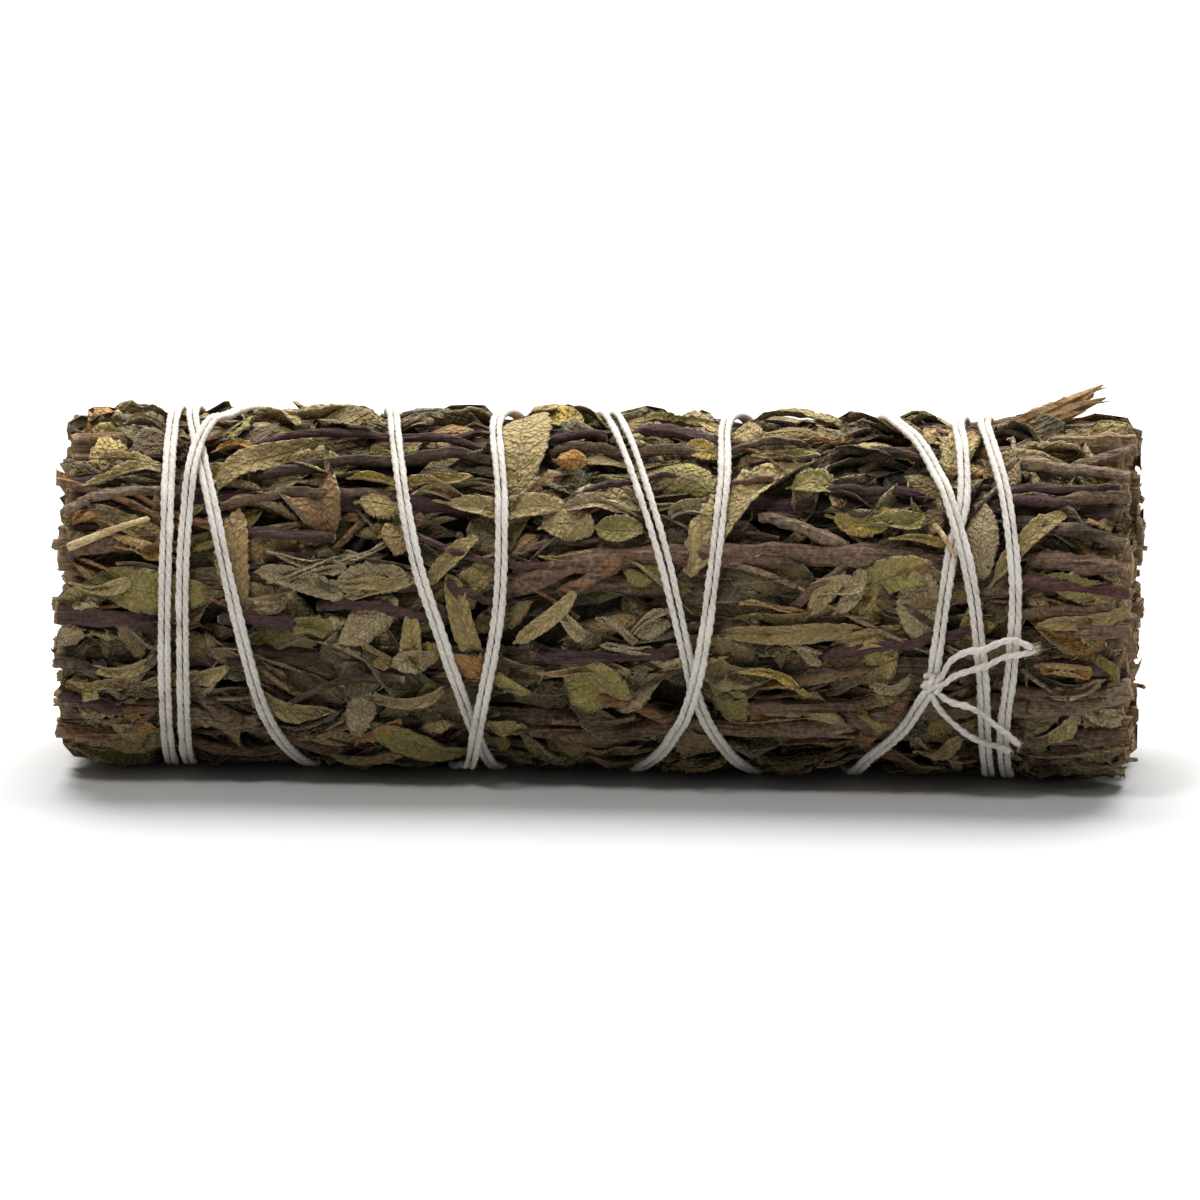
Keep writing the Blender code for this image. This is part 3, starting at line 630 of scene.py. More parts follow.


# Depths of the three layers of leaves, and the painted light and shade of each: the deepest layer is painted
# darker, as shade, and the outermost lighter, as painted light.
LAYER_RADII = (14.0, 15.1, 15.9)
LAYER_PAINTED_LIGHT = (0.34, 1.04, 1.8)

# Leaf colours, as they look dry: linear red, green, blue, and how often each comes up.
LEAF_TONES = {
    "olive": ((0.239, 0.172, 0.062), 5),
    "sage": ((0.278, 0.209, 0.087), 6),
    "grey": ((0.291, 0.222, 0.118), 4),
    "moss": ((0.191, 0.156, 0.042), 4),
    "tan": ((0.249, 0.156, 0.064), 4),
    "ochre": ((0.318, 0.151, 0.032), 1.4),
    "yellow": ((0.308, 0.216, 0.045), 1.6),
    "brown": ((0.143, 0.078, 0.030), 4),
    "dark": ((0.096, 0.062, 0.026), 3),
}
TWIG_TONES = {
    "brown": (0.183, 0.114, 0.064),
    "grey": (0.263, 0.185, 0.118),
    "dark": (0.080, 0.050, 0.031),
    "purple": (0.080, 0.034, 0.033),
    "magenta": (0.115, 0.033, 0.039),
    "red": (0.206, 0.122, 0.075),
    "rust": (0.237, 0.120, 0.052),
    "pale": (0.340, 0.231, 0.125),
}


def choose(draw, table):
    """The name of one of a table's tones, drawn by how often each comes up."""
    weights = np.array([entry[1] for entry in table.values()], float)
    return list(table)[draw.choice(len(table), p=weights / weights.sum())]


def linked(tree, first, first_socket, second, second_socket):
    """A link from one node to another."""
    tree.links.new(first.outputs[first_socket], second.inputs[second_socket])


def new_node(tree, kind, **settings):
    """A node with its settings, in the next free spot of the tree's rows."""
    made = len(tree.nodes)
    node = tree.nodes.new(kind)
    node.location = NODE_SPACING * (made % NODES_IN_ROW), -NODE_SPACING * (made // NODES_IN_ROW)
    for name, value in settings.items():
        setattr(node, name, value)
    return node


def new_group(name, inputs, outputs):
    """A shader node group with named sockets: inputs are (name, kind, default), outputs (name, kind)."""
    group = bpy.data.node_groups.new(name, "ShaderNodeTree")
    for socket, kind, default in inputs:
        made = group.interface.new_socket(socket, in_out="INPUT", socket_type=kind)
        if default is not None:
            made.default_value = default
    for socket, kind in outputs:
        group.interface.new_socket(socket, in_out="OUTPUT", socket_type=kind)
    return group, new_node(group, "NodeGroupInput"), new_node(group, "NodeGroupOutput")


def mixed(tree, blend, factor, first, second):
    """A colour mix node; factor and colours are sockets or constants."""
    node = new_node(tree, "ShaderNodeMix", data_type="RGBA", blend_type=blend)
    for index, value in ((0, factor), (6, first), (7, second)):
        if isinstance(value, bpy.types.NodeSocket):
            tree.links.new(value, node.inputs[index])
        else:
            node.inputs[index].default_value = value
    return node.outputs[2]


def math_of(tree, operation, first, second=0.5):
    """A maths node; its values are sockets or constants."""
    node = new_node(tree, "ShaderNodeMath", operation=operation)
    for index, value in ((0, first), (1, second)):
        if isinstance(value, bpy.types.NodeSocket):
            tree.links.new(value, node.inputs[index])
        else:
            node.inputs[index].default_value = value
    return node.outputs[0]


def ranged(tree, value, low, high, to_low=0.0, to_high=1.0):
    """A value mapped smoothly from one range to another."""
    node = new_node(tree, "ShaderNodeMapRange", interpolation_type="SMOOTHSTEP")
    tree.links.new(value, node.inputs["Value"])
    for name, bound in (("From Min", low), ("From Max", high), ("To Min", to_low), ("To Max", to_high)):
        node.inputs[name].default_value = bound
    return node.outputs["Result"]


def noise(tree, vector, scale, detail=3.0, roughness=0.55):
    """A noise node; its scale is a socket or a constant."""
    node = new_node(tree, "ShaderNodeTexNoise")
    tree.links.new(vector, node.inputs["Vector"])
    if isinstance(scale, bpy.types.NodeSocket):
        tree.links.new(scale, node.inputs["Scale"])
    else:
        node.inputs["Scale"].default_value = scale
    node.inputs["Detail"].default_value = detail
    node.inputs["Roughness"].default_value = roughness
    return node


def build_patchy_tone():
    """Colour that drifts to a second tone in patches, with a fine speckle over it."""
    group, start, end = new_group(
        "Patchy Tone",
        (("Base", "NodeSocketColor", (0.2, 0.18, 0.1, 1)),
         ("Patches", "NodeSocketColor", (0.3, 0.2, 0.08, 1)),
         ("Patch Size", "NodeSocketFloat", 220.0), ("Patch Amount", "NodeSocketFloat", 0.5),
         ("Speckle Size", "NodeSocketFloat", 2600.0), ("Speckle Amount", "NodeSocketFloat", 0.5)),
        (("Colour", "NodeSocketColor"), ("Patches", "NodeSocketFloat")),
    )
    where = new_node(group, "ShaderNodeTexCoord")
    wide = noise(group, where.outputs["Object"], start.outputs["Patch Size"], 4, 0.6)
    mask = ranged(group, wide.outputs["Fac"], 0.46, 0.68)
    amount = math_of(group, "MULTIPLY", mask, start.outputs["Patch Amount"])
    toned = mixed(group, "MIX", amount, start.outputs["Base"], start.outputs["Patches"])
    fine = noise(group, where.outputs["Object"], start.outputs["Speckle Size"], 3, 0.7)
    light = ranged(group, fine.outputs["Fac"], 0.3, 0.72, 0.25, 1.6)
    grey = new_node(group, "ShaderNodeCombineColor")
    for channel in range(3):
        group.links.new(light, grey.inputs[channel])
    speckled = mixed(group, "MULTIPLY", start.outputs["Speckle Amount"], toned, grey.outputs[0])
    group.links.new(speckled, end.inputs["Colour"])
    group.links.new(mask, end.inputs["Patches"])
    return group


def build_long_ridges():
    """Streaks along the bunch: a height for bark, splinters and straw, and a mask of the furrows, which the
    finishes darken as painted shade.
    """
    group, start, end = new_group(
        "Long Ridges",
        (("Spacing", "NodeSocketFloat", 2200.0), ("Run", "NodeSocketFloat", 0.09)),
        (("Height", "NodeSocketFloat"), ("Furrow Shade", "NodeSocketFloat")),
    )
    where = new_node(group, "ShaderNodeTexCoord")
    stretch = new_node(group, "ShaderNodeCombineXYZ")
    group.links.new(start.outputs["Run"], stretch.inputs[0])
    stretch.inputs[1].default_value = 1
    stretch.inputs[2].default_value = 1
    scaled = new_node(group, "ShaderNodeVectorMath", operation="MULTIPLY")
    linked(group, where, "Object", scaled, 0)
    linked(group, stretch, 0, scaled, 1)
    streaks = noise(group, scaled.outputs[0], start.outputs["Spacing"], 5, 0.62)
    furrows = ranged(group, streaks.outputs["Fac"], 0.5, 0.36)
    group.links.new(streaks.outputs["Fac"], end.inputs["Height"])
    group.links.new(furrows, end.inputs["Furrow Shade"])
    return group


def build_pebbled_skin():
    """The small domed cells of a sage leaf: a height, and a mask of the creases between the cells, which the
    leaf finish darkens as painted shade.
    """
    group, start, end = new_group(
        "Pebbled Skin",
        (("Cells", "NodeSocketFloat", 1500.0), ("Fuzz", "NodeSocketFloat", 9000.0)),
        (("Height", "NodeSocketFloat"), ("Crease Shade", "NodeSocketFloat")),
    )
    where = new_node(group, "ShaderNodeTexCoord")
    drift = noise(group, where.outputs["Object"], 900, 2, 0.5)
    moved = new_node(group, "ShaderNodeVectorMath", operation="MULTIPLY_ADD")
    group.links.new(drift.outputs["Color"], moved.inputs[0])
    moved.inputs[1].default_value = (0.0007, 0.0007, 0.0007)
    group.links.new(where.outputs["Object"], moved.inputs[2])
    cells = new_node(group, "ShaderNodeTexVoronoi", feature="SMOOTH_F1")
    cells.inputs["Smoothness"].default_value = 0.35
    group.links.new(moved.outputs[0], cells.inputs["Vector"])
    group.links.new(start.outputs["Cells"], cells.inputs["Scale"])
    fuzz = noise(group, where.outputs["Object"], start.outputs["Fuzz"], 2, 0.6)
    domes = ranged(group, cells.outputs["Distance"], 0.75, 0.1)
    height = math_of(group, "MULTIPLY_ADD", fuzz.outputs["Fac"], 0.3)
    group.links.new(domes, height.node.inputs[2])
    creases = ranged(group, cells.outputs["Distance"], 0.42, 0.8)
    group.links.new(height, end.inputs["Height"])
    group.links.new(creases, end.inputs["Crease Shade"])
    return group


def build_leaf_veins():
    """A midrib and slanting side veins on a leaf's own plan, as a mask, and a mask of its edge, which the
    leaf finish paints paler, partly as a painted highlight.
    """
    group, start, end = new_group(
        "Leaf Veins",
        (("Pairs", "NodeSocketFloat", 9.0), ("Slant", "NodeSocketFloat", 0.35)),
        (("Veins", "NodeSocketFloat"), ("Edge", "NodeSocketFloat")),
    )
    plan = new_node(group, "ShaderNodeUVMap", uv_map="plan")
    parts = new_node(group, "ShaderNodeSeparateXYZ")
    linked(group, plan, 0, parts, 0)
    off = math_of(group, "ABSOLUTE", math_of(group, "SUBTRACT", parts.outputs[0], 0.5), 0)
    rib = ranged(group, off, 0.06, 0.015)
    slanted = math_of(group, "MULTIPLY_ADD", off, -0.7)
    group.links.new(parts.outputs[1], slanted.node.inputs[2])
    group.links.new(start.outputs["Slant"], slanted.node.inputs[1])
    wave = math_of(group, "FRACT", math_of(group, "MULTIPLY", slanted, start.outputs["Pairs"]), 0)
    near = math_of(group, "ABSOLUTE", math_of(group, "SUBTRACT", wave, 0.5), 0)
    side = ranged(group, near, 0.13, 0.03, 0.0, 0.65)
    veins = math_of(group, "MAXIMUM", rib, side)
    edge = ranged(group, off, 0.44, 0.5)
    group.links.new(veins, end.inputs["Veins"])
    group.links.new(edge, end.inputs["Edge"])
    return group


def placed_group(tree, group, **values):
    """A use of one of the shared groups, with its named values."""
    node = new_node(tree, "ShaderNodeGroup")
    node.node_tree = group
    for name, value in values.items():
        node.inputs[name.replace("_", " ")].default_value = value
    return node


def start_material(name, roughness, sheen=0.0, sheen_tint=(1, 1, 1, 1)):
    """A new material with its tree and its shader, and the values that all finishes set."""
    material = bpy.data.materials.new(name)
    material.use_nodes = True
    tree = material.node_tree
    shader = tree.nodes["Principled BSDF"]
    shader.inputs["Roughness"].default_value = roughness
    shader.inputs["Specular IOR Level"].default_value = 0.25
    shader.inputs["Sheen Weight"].default_value = sheen
    shader.inputs["Sheen Roughness"].default_value = 0.6
    shader.inputs["Sheen Tint"].default_value = sheen_tint
    return material, tree, shader


def bumped(tree, shader, height, distance, strength=1.0):
    """Raises the surface by a height, over a distance in metres."""
    bump = new_node(tree, "ShaderNodeBump")
    bump.inputs["Distance"].default_value = distance
    bump.inputs["Strength"].default_value = strength
    tree.links.new(height, bump.inputs["Height"])
    linked(tree, bump, "Normal", shader, "Normal")


def make_leaf_material(name, groups, patches, cells, tint):
    """Dry sage leaf: pebbled, veined, with painted shade in the creases between its cells, a pale edge that
    is partly its own paler margin and partly a painted highlight, and a paler underside.
    """
    material, tree, shader = start_material(name, 0.9, 0.12, (0.9, 0.85, 0.66, 1))
    tone = new_node(tree, "ShaderNodeAttribute", attribute_name="tone")
    under = new_node(tree, "ShaderNodeAttribute", attribute_name="under")
    patchy = placed_group(tree, groups["patchy"], Patches=patches, Patch_Size=330, Patch_Amount=0.6,
                          Speckle_Size=4200, Speckle_Amount=0.38)
    linked(tree, tone, "Color", patchy, "Base")
    skin = placed_group(tree, groups["pebbled"], Cells=cells)
    veins = placed_group(tree, groups["veins"])
    greyer = mixed(tree, "MIX", math_of(tree, "MULTIPLY", under.outputs["Fac"], 0.35),
                   patchy.outputs["Colour"], tint)
    # Darker in the creases between the cells: painted shade.
    crease_shaded = mixed(tree, "MULTIPLY", math_of(tree, "MULTIPLY", skin.outputs["Crease Shade"], 0.5), greyer,
                    (0.34, 0.30, 0.24, 1))
    # Paler towards the edge: partly the leaf's own paler margin, partly a painted highlight along the rim.
    edged = mixed(tree, "MIX", math_of(tree, "MULTIPLY", veins.outputs["Edge"], 0.65), crease_shaded,
                  (0.42, 0.37, 0.235, 1))
    ribbed = mixed(tree, "MIX", math_of(tree, "MULTIPLY", veins.outputs["Veins"], 0.3), edged,
                   (0.33, 0.29, 0.19, 1))
    tree.links.new(ribbed, shader.inputs["Base Color"])
    height = math_of(tree, "MULTIPLY_ADD", veins.outputs["Veins"], 0.9)
    tree.links.new(skin.outputs["Height"], height.node.inputs[2])
    bumped(tree, shader, height, 0.00034)
    return material


def make_bark_material(name, groups, patches, spacing, sheen):
    """Bark in long ridges with painted shade in its furrows, frayed pale next to a cut end."""
    material, tree, shader = start_material(name, 0.85, sheen, (0.8, 0.72, 0.6, 1))
    tone = new_node(tree, "ShaderNodeAttribute", attribute_name="tone")
    patchy = placed_group(tree, groups["patchy"], Patches=patches, Patch_Size=260, Patch_Amount=0.6,
                          Speckle_Size=2400, Speckle_Amount=0.7)
    linked(tree, tone, "Color", patchy, "Base")
    ridges = placed_group(tree, groups["ridges"], Spacing=spacing)
    # Darker in the furrows: painted shade.
    furrow_shaded = mixed(tree, "MULTIPLY", math_of(tree, "MULTIPLY", ridges.outputs["Furrow Shade"], 0.92),
                     patchy.outputs["Colour"], (0.26, 0.22, 0.2, 1))
    heart = new_node(tree, "ShaderNodeAttribute", attribute_name="heart")
    fraying = ranged(tree, heart.outputs["Fac"], -0.55, 0.0, 0, 0.75)
    frayed = mixed(tree, "MIX", fraying, furrow_shaded, (0.40, 0.27, 0.135, 1))
    tree.links.new(frayed, shader.inputs["Base Color"])
    bumped(tree, shader, ridges.outputs["Height"], 0.0011)
    return material


def make_cut_wood_material(groups):
    """A sawn end: pale wood with a dark rim and a paler pith."""
    material, tree, shader = start_material("cut_wood", 0.9)
    heart = new_node(tree, "ShaderNodeAttribute", attribute_name="heart")
    patchy = placed_group(tree, groups["patchy"], Base=(0.50, 0.34, 0.175, 1),
                          Patches=(0.30, 0.18, 0.085, 1), Patch_Size=900, Patch_Amount=0.7,
                          Speckle_Size=5200, Speckle_Amount=0.7)
    tone = new_node(tree, "ShaderNodeAttribute", attribute_name="tone")
    tinted = mixed(tree, "MIX", 0.4, patchy.outputs["Colour"], tone.outputs["Color"])
    rim = ranged(tree, heart.outputs["Fac"], 0.16, 0.02)
    pith = ranged(tree, heart.outputs["Fac"], 0.72, 0.95)
    rimmed = mixed(tree, "MIX", rim, tinted, (0.09, 0.055, 0.035, 1))
    pithy = mixed(tree, "MIX", pith, rimmed, (0.52, 0.42, 0.27, 1))
    tree.links.new(pithy, shader.inputs["Base Color"])
    where = new_node(tree, "ShaderNodeTexCoord")
    fine = noise(tree, where.outputs["Object"], 5200, 3, 0.7)
    bumped(tree, shader, fine.outputs["Fac"], 0.0003)
    return material


def make_wood_material(name, groups, base, patches, spacing, roughness):
    """Bare wood or straw, streaked along its length, with painted shade in its furrows."""
    material, tree, shader = start_material(name, roughness)
    patchy = placed_group(tree, groups["patchy"], Base=base, Patches=patches, Patch_Size=420,
                          Patch_Amount=0.75, Speckle_Size=3800, Speckle_Amount=0.45)
    ridges = placed_group(tree, groups["ridges"], Spacing=spacing)
    # Darker in the furrows: painted shade.
    dark = mixed(tree, "MULTIPLY", math_of(tree, "MULTIPLY", ridges.outputs["Furrow Shade"], 0.7),
                 patchy.outputs["Colour"], (0.42, 0.30, 0.22, 1))
    tree.links.new(dark, shader.inputs["Base Color"])
    bumped(tree, shader, ridges.outputs["Height"], 0.00035)
    return material


def make_cotton_material(groups, colour):
    """Off-white cotton, with painted shade in the grooves between its two plies."""
    material, tree, shader = start_material("cotton_twine", 0.95, 0.35, (1, 0.98, 0.94, 1))
    hollow = new_node(tree, "ShaderNodeAttribute", attribute_name="hollow")
    patchy = placed_group(tree, groups["patchy"], Base=colour, Patches=(0.62, 0.58, 0.50, 1), Patch_Size=700,
                          Patch_Amount=0.5, Speckle_Size=6500, Speckle_Amount=0.22)
    # Darker in the grooves between the plies: painted shade.
    ply_shaded = mixed(tree, "MULTIPLY", math_of(tree, "MULTIPLY", hollow.outputs["Fac"], 0.6),
                 patchy.outputs["Colour"], (0.50, 0.45, 0.39, 1))
    tree.links.new(ply_shaded, shader.inputs["Base Color"])
    where = new_node(tree, "ShaderNodeTexCoord")
    fibres = noise(tree, where.outputs["Object"], 7500, 3, 0.7)
    bumped(tree, shader, fibres.outputs["Fac"], 0.00012)
    return material


def make_filling_shade_material(groups):
    """Crushed leaf dust, painted near black as the shade in the gaps between the leaves, with less of this
    painted shade at the two sawn ends.
    """
    material, tree, shader = start_material("leaf_dust_painted_shade", 1.0)
    # Near-black base: painted shade for the gaps between the leaves, not the dust's own colour.
    patchy = placed_group(tree, groups["patchy"], Base=(0.030, 0.022, 0.014, 1),
                          Patches=(0.075, 0.058, 0.032, 1), Patch_Size=500, Patch_Amount=0.8,
                          Speckle_Size=2600, Speckle_Amount=0.8)
    heart = new_node(tree, "ShaderNodeAttribute", attribute_name="heart")
    # Lighter at the sawn ends, where the painted shade is eased.
    lit = math_of(tree, "MULTIPLY", heart.outputs["Fac"], 0.3)
    sawn = mixed(tree, "ADD", lit, patchy.outputs["Colour"], (0.10, 0.077, 0.042, 1))
    tree.links.new(sawn, shader.inputs["Base Color"])
    skin = placed_group(tree, groups["pebbled"], Cells=900)
    bumped(tree, shader, skin.outputs["Height"], 0.0006)
    return material


class SageBunchSizes(bpy.types.PropertyGroup):
    """Sizes a user may change before the bunch is built."""

    leaves_per_gap: bpy.props.IntProperty(
        name="Leaves per Gap", description="Loose leaves laid over the length of one gap between stems",
        default=112, min=8, max=200)
    strand_thickness: bpy.props.FloatProperty(
        name="Strand Thickness", description="Thickness of one strand of the doubled twine",
        default=0.00062, min=0.0003, max=0.001, unit="LENGTH", subtype="DISTANCE", precision=5)
    filling_radius: bpy.props.FloatProperty(
        name="Filling Radius", description="Radius of the crushed leaf packed between the stems",
        default=0.0129, min=0.008, max=0.014, unit="LENGTH", subtype="DISTANCE", precision=4)
    loose_stalks: bpy.props.IntProperty(
        name="Loose Stalks", description="Thin leaf stalks scattered between the leaves",
        default=300, min=0, max=600)
    fuzz_fibres: bpy.props.IntProperty(
        name="Fuzz Fibres", description="Short cotton fibres that stand off the twine",
        default=4200, min=0, max=9000)
    ply_length: bpy.props.FloatProperty(
        name="Ply Length", description="Length of twine in which its two plies turn once round each other",
        default=0.0021, min=0.001, max=0.006, unit="LENGTH", subtype="DISTANCE", precision=4)


class SageBunchColours(bpy.types.PropertyGroup):
    """Colours a user may change before the bunch is built."""

    cotton: bpy.props.FloatVectorProperty(
        name="Cotton", description="Colour of the twine", subtype="COLOR", size=4,
        default=(0.79, 0.745, 0.675, 1), min=0, max=1)
    leaf_brightness: bpy.props.FloatProperty(
        name="Leaf Brightness", description="Makes all leaves lighter or darker",
        default=1.0, min=0.2, max=3, subtype="FACTOR")
    twig_brightness: bpy.props.FloatProperty(
        name="Twig Brightness", description="Makes all stems and twigs lighter or darker",
        default=1.0, min=0.2, max=3, subtype="FACTOR")
    floor: bpy.props.FloatVectorProperty(
        name="Floor", description="Colour of the surface the bunch lies on", subtype="COLOR", size=4,
        default=(0.54, 0.537, 0.53, 1), min=0, max=1)


finishes = {}


class SAGE_OT_mix_finishes(bpy.types.Operator):
    """Mix the bark, leaf, wood and cotton finishes"""

    bl_idname = "sage.mix_finishes"
    bl_label = "Mix Finishes"

    def execute(self, context):
        groups = {
            "patchy": build_patchy_tone(), "ridges": build_long_ridges(), "pebbled": build_pebbled_skin(),
            "veins": build_leaf_veins(),
        }
        finishes["bark"] = make_bark_material("bark", groups, (0.25, 0.178, 0.118, 1), 2300, 0.06)
        finishes["purple_bark"] = make_bark_material(
            "purple_bark", groups, (0.095, 0.058, 0.050, 1), 2600, 0.10)
        finishes["green_leaf"] = make_leaf_material(
            "green_leaf", groups, (0.25, 0.165, 0.060, 1), 2100, (0.24, 0.205, 0.140, 1))
        finishes["grey_leaf"] = make_leaf_material(
            "grey_leaf", groups, (0.25, 0.165, 0.095, 1), 2500, (0.28, 0.24, 0.172, 1))
        finishes["cut_wood"] = make_cut_wood_material(groups)
        finishes["bare_wood"] = make_wood_material(
            "bare_wood", groups, (0.36, 0.225, 0.105, 1), (0.19, 0.105, 0.05, 1), 1900, 0.85)
        finishes["straw"] = make_wood_material(
            "straw", groups, (0.60, 0.46, 0.24, 1), (0.42, 0.28, 0.12, 1), 1500, 0.6)
        finishes["cotton_twine"] = make_cotton_material(groups, context.scene.sage_colours.cotton[:])
        finishes["filling"] = make_filling_shade_material(groups)
        return {"FINISHED"}


class SAGE_OT_pack_filling(bpy.types.Operator):
    """Pack crushed leaf between the stems, painted near black as the shade in the gaps between the leaves"""

    bl_idname = "sage.pack_filling"
    bl_label = "Pack Filling"

    def execute(self, context):
        draw = np.random.default_rng(SEEDS["filling"])
        radius = context.scene.sage_sizes.filling_radius / MM
        blank = make_stalk_blank(48, 90)
        shaped = blank[0].copy()
        turned = np.arctan2(shaped[:, 1], shaped[:, 0])
        reach = np.hypot(shaped[:, 0], shaped[:, 1])
        along = -46.7 + 93.4 * shaped[:, 2]
        waves = np.sin(9 * turned + 0.7 * along) + np.sin(14 * turned - 1.1 * along)
        swell = radius * reach * (1 + 0.03 * waves)
        swell += draw.uniform(-0.45, 0.2, len(shaped)) * (reach > 0.9)
        ends = (shaped[:, 2] < 1e-6) | (shaped[:, 2] > 1 - 1e-6)
        along = along + np.where(ends, draw.uniform(-0.8, 0.8, len(shaped)), 0)
        growth = Growth()
        # The near-black tone is painted shade for the gaps between the leaves.
        growth.add(place(along, np.degrees(turned), swell), blank[1], (0.05, 0.04, 0.02), heart=ends * 1.0)
        growth.finish("packed_filling", "green_leaf", [finishes["filling"]])
        return {"FINISHED"}


def stem_stations(node):
    """Centres and half sizes of a stem, read from its own cross-sections."""
    corners = np.array([corner.co[:] for corner in node.data.vertices]) / MM
    found = {}
    for corner in corners:
        found.setdefault(round(corner[0], 2), []).append(corner)
    rows = [np.array(found[key]) for key in sorted(found) if len(found[key]) >= 5]
    centres = np.array([(row.min(0) + row.max(0)) / 2 for row in rows])
    sizes = np.array([np.linalg.norm(row - centre, axis=1).max() for row, centre in zip(rows, centres)])
    return centres, sizes


def stem_tone(purple, draw, brightness):
    """The colour of one stem's bark."""
    if purple:
        return np.array(TWIG_TONES["purple"]) * draw.uniform(0.8, 1.5)
    kinds = ("brown", "grey", "dark", "red", "brown", "rust")
    return np.array(TWIG_TONES[kinds[draw.integers(len(kinds))]]) * brightness * draw.uniform(0.8, 1.2)


class SAGE_OT_grow_stems(bpy.types.Operator):
    """Grow the woody stems inside the bunch, with ridged bark and cut ends"""

    bl_idname = "sage.grow_stems"
    bl_label = "Grow Stems"

    def execute(self, context):
        draw = np.random.default_rng(SEEDS["stems"])
        count = STEM_STATIONS + 1
        blank = make_stalk_blank(12, STEM_STATIONS)
        brightness = context.scene.sage_colours.twig_brightness
        for name in sorted(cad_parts):
            if "_stem" not in name:
                continue
            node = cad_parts[name]
            purple = any("purple" in (material.name if material else "") for material in node.data.materials)
            centres, sizes = stem_stations(node)
            row = curve_through(np.column_stack((centres, sizes)), count)
            ends = -draw.uniform(47.9, 49.3), draw.uniform(48.4, 49.7)
            row[:, 0] = np.interp(row[:, 0], (row[0, 0], row[-1, 0]), ends)
            wander = draw.normal(0, 0.05, (count, 2)).cumsum(0)
            wander -= np.linspace(0, 1, count)[:, None] * wander[-1]
            row[:, 1:3] += np.clip(wander, -0.3, 0.3)
            spots = np.arange(draw.uniform(6, 16), 96, draw.uniform(15, 24))
            joints = [(spot, draw.uniform(0.12, 0.3)) for spot in spots]
            away = np.tile((0, 0, 1.0), (count, 1))
            halves = row[:, 3] * draw.uniform(0.74, 1)
            roughness = draw.uniform(0.045, 0.085)
            shaped, plan, heart = bend_stalk(blank, row[:, :3], away, halves, draw, roughness, joints, 0.4)
            tone = stem_tone(purple, draw, brightness)
            growth = Growth()
            growth.add(settled(shaped), blank[1], tone, plan, blank[2], heart=heart)
            slot = "purple_bark" if purple else "bark"
            growth.finish(name + "_grown", slot, [finishes[slot], finishes["cut_wood"]], (name,), SHARP_EDGE)
        return {"FINISHED"}


class SAGE_OT_lay_outside_twigs(bpy.types.Operator):
    """Lay the twigs that show on the outside of the bunch"""

    bl_idname = "sage.lay_outside_twigs"
    bl_label = "Lay Outside Twigs"

    def execute(self, context):
        draw = np.random.default_rng(SEEDS["outside_twigs"])
        brightness = context.scene.sage_colours.twig_brightness
        blanks = {stations: make_stalk_blank(12, stations) for stations in (16, 34)}
        for number, (kind, half, stops) in enumerate(OUTSIDE_TWIGS):
            run = abs(stops[-1][0] - stops[0][0])
            stations = 34 if run > 12 else 16
            count = stations + 1
            row = curve_through(stops, count)
            along, angle = row[:, 0], row[:, 1] + np.clip(draw.normal(0, 0.35, count).cumsum(), -1.5, 1.5)
            high = 16.05 - 1.1 * half + 0.7 * (1 - np.exp(-((from_twine(along, angle) / 1.9) ** 2)))
            high = np.convolve(np.pad(high, 2, mode="edge"), np.ones(5) / 5, mode="valid")
            sink = np.linspace(-1, 1, count)
            buried = np.where(np.abs(along) < 46, 0.9 * np.clip(np.abs(sink) - 0.72, 0, 1) / 0.28, 0)
            centres = settled(place(along, angle, high - buried * (0.5 + half)), lowest=half)
            taper = 1 + draw.uniform(-0.16, 0.16) * sink
            spots = np.arange(draw.uniform(2, 7), run, draw.uniform(6, 12))
            clear = np.interp(spots, np.linspace(0, run, count), from_twine(along, angle)) > 2
            joints = [(spot, draw.uniform(0.15, 0.4)) for spot in spots[clear]]
            blank = blanks[stations]
            halves = half * taper
            shaped, plan, heart = bend_stalk(blank, centres, outward(angle), halves, draw, 0.065, joints)
            tone = np.array(TWIG_TONES[kind]) * brightness * draw.uniform(0.85, 1.15)
            growth = Growth()
            growth.add(settled(shaped, 0.03, 0.2), blank[1], tone, plan, blank[2], heart=heart)
            slot = "purple_bark" if kind in ("purple", "magenta") else "bark"
            name = f"outside_twig_{number + 1:02d}"
            growth.finish(name, slot, [finishes[slot], finishes["cut_wood"]], crease=SHARP_EDGE)
        return {"FINISHED"}


def twig_cover():
    """Places and arcs along every outside twig and laid leaf, to keep loose leaves from burying them."""
    spots = []
    for _, half, stops in OUTSIDE_TWIGS:
        row = curve_through(stops, 20)
        for along, angle in row[:, :2]:
            spots.append((along, angle * math.pi / 180 * LEAF_RADIUS, half))
    for _, base, tip, width, *_ in LAID_LEAVES:
        for share in (0.2, 0.5, 0.8):
            along, angle = (first + (last - first) * share for first, last in zip(base, tip))
            spots.append((along, angle * math.pi / 180 * LEAF_RADIUS, width * 0.35))
    return np.array(spots)


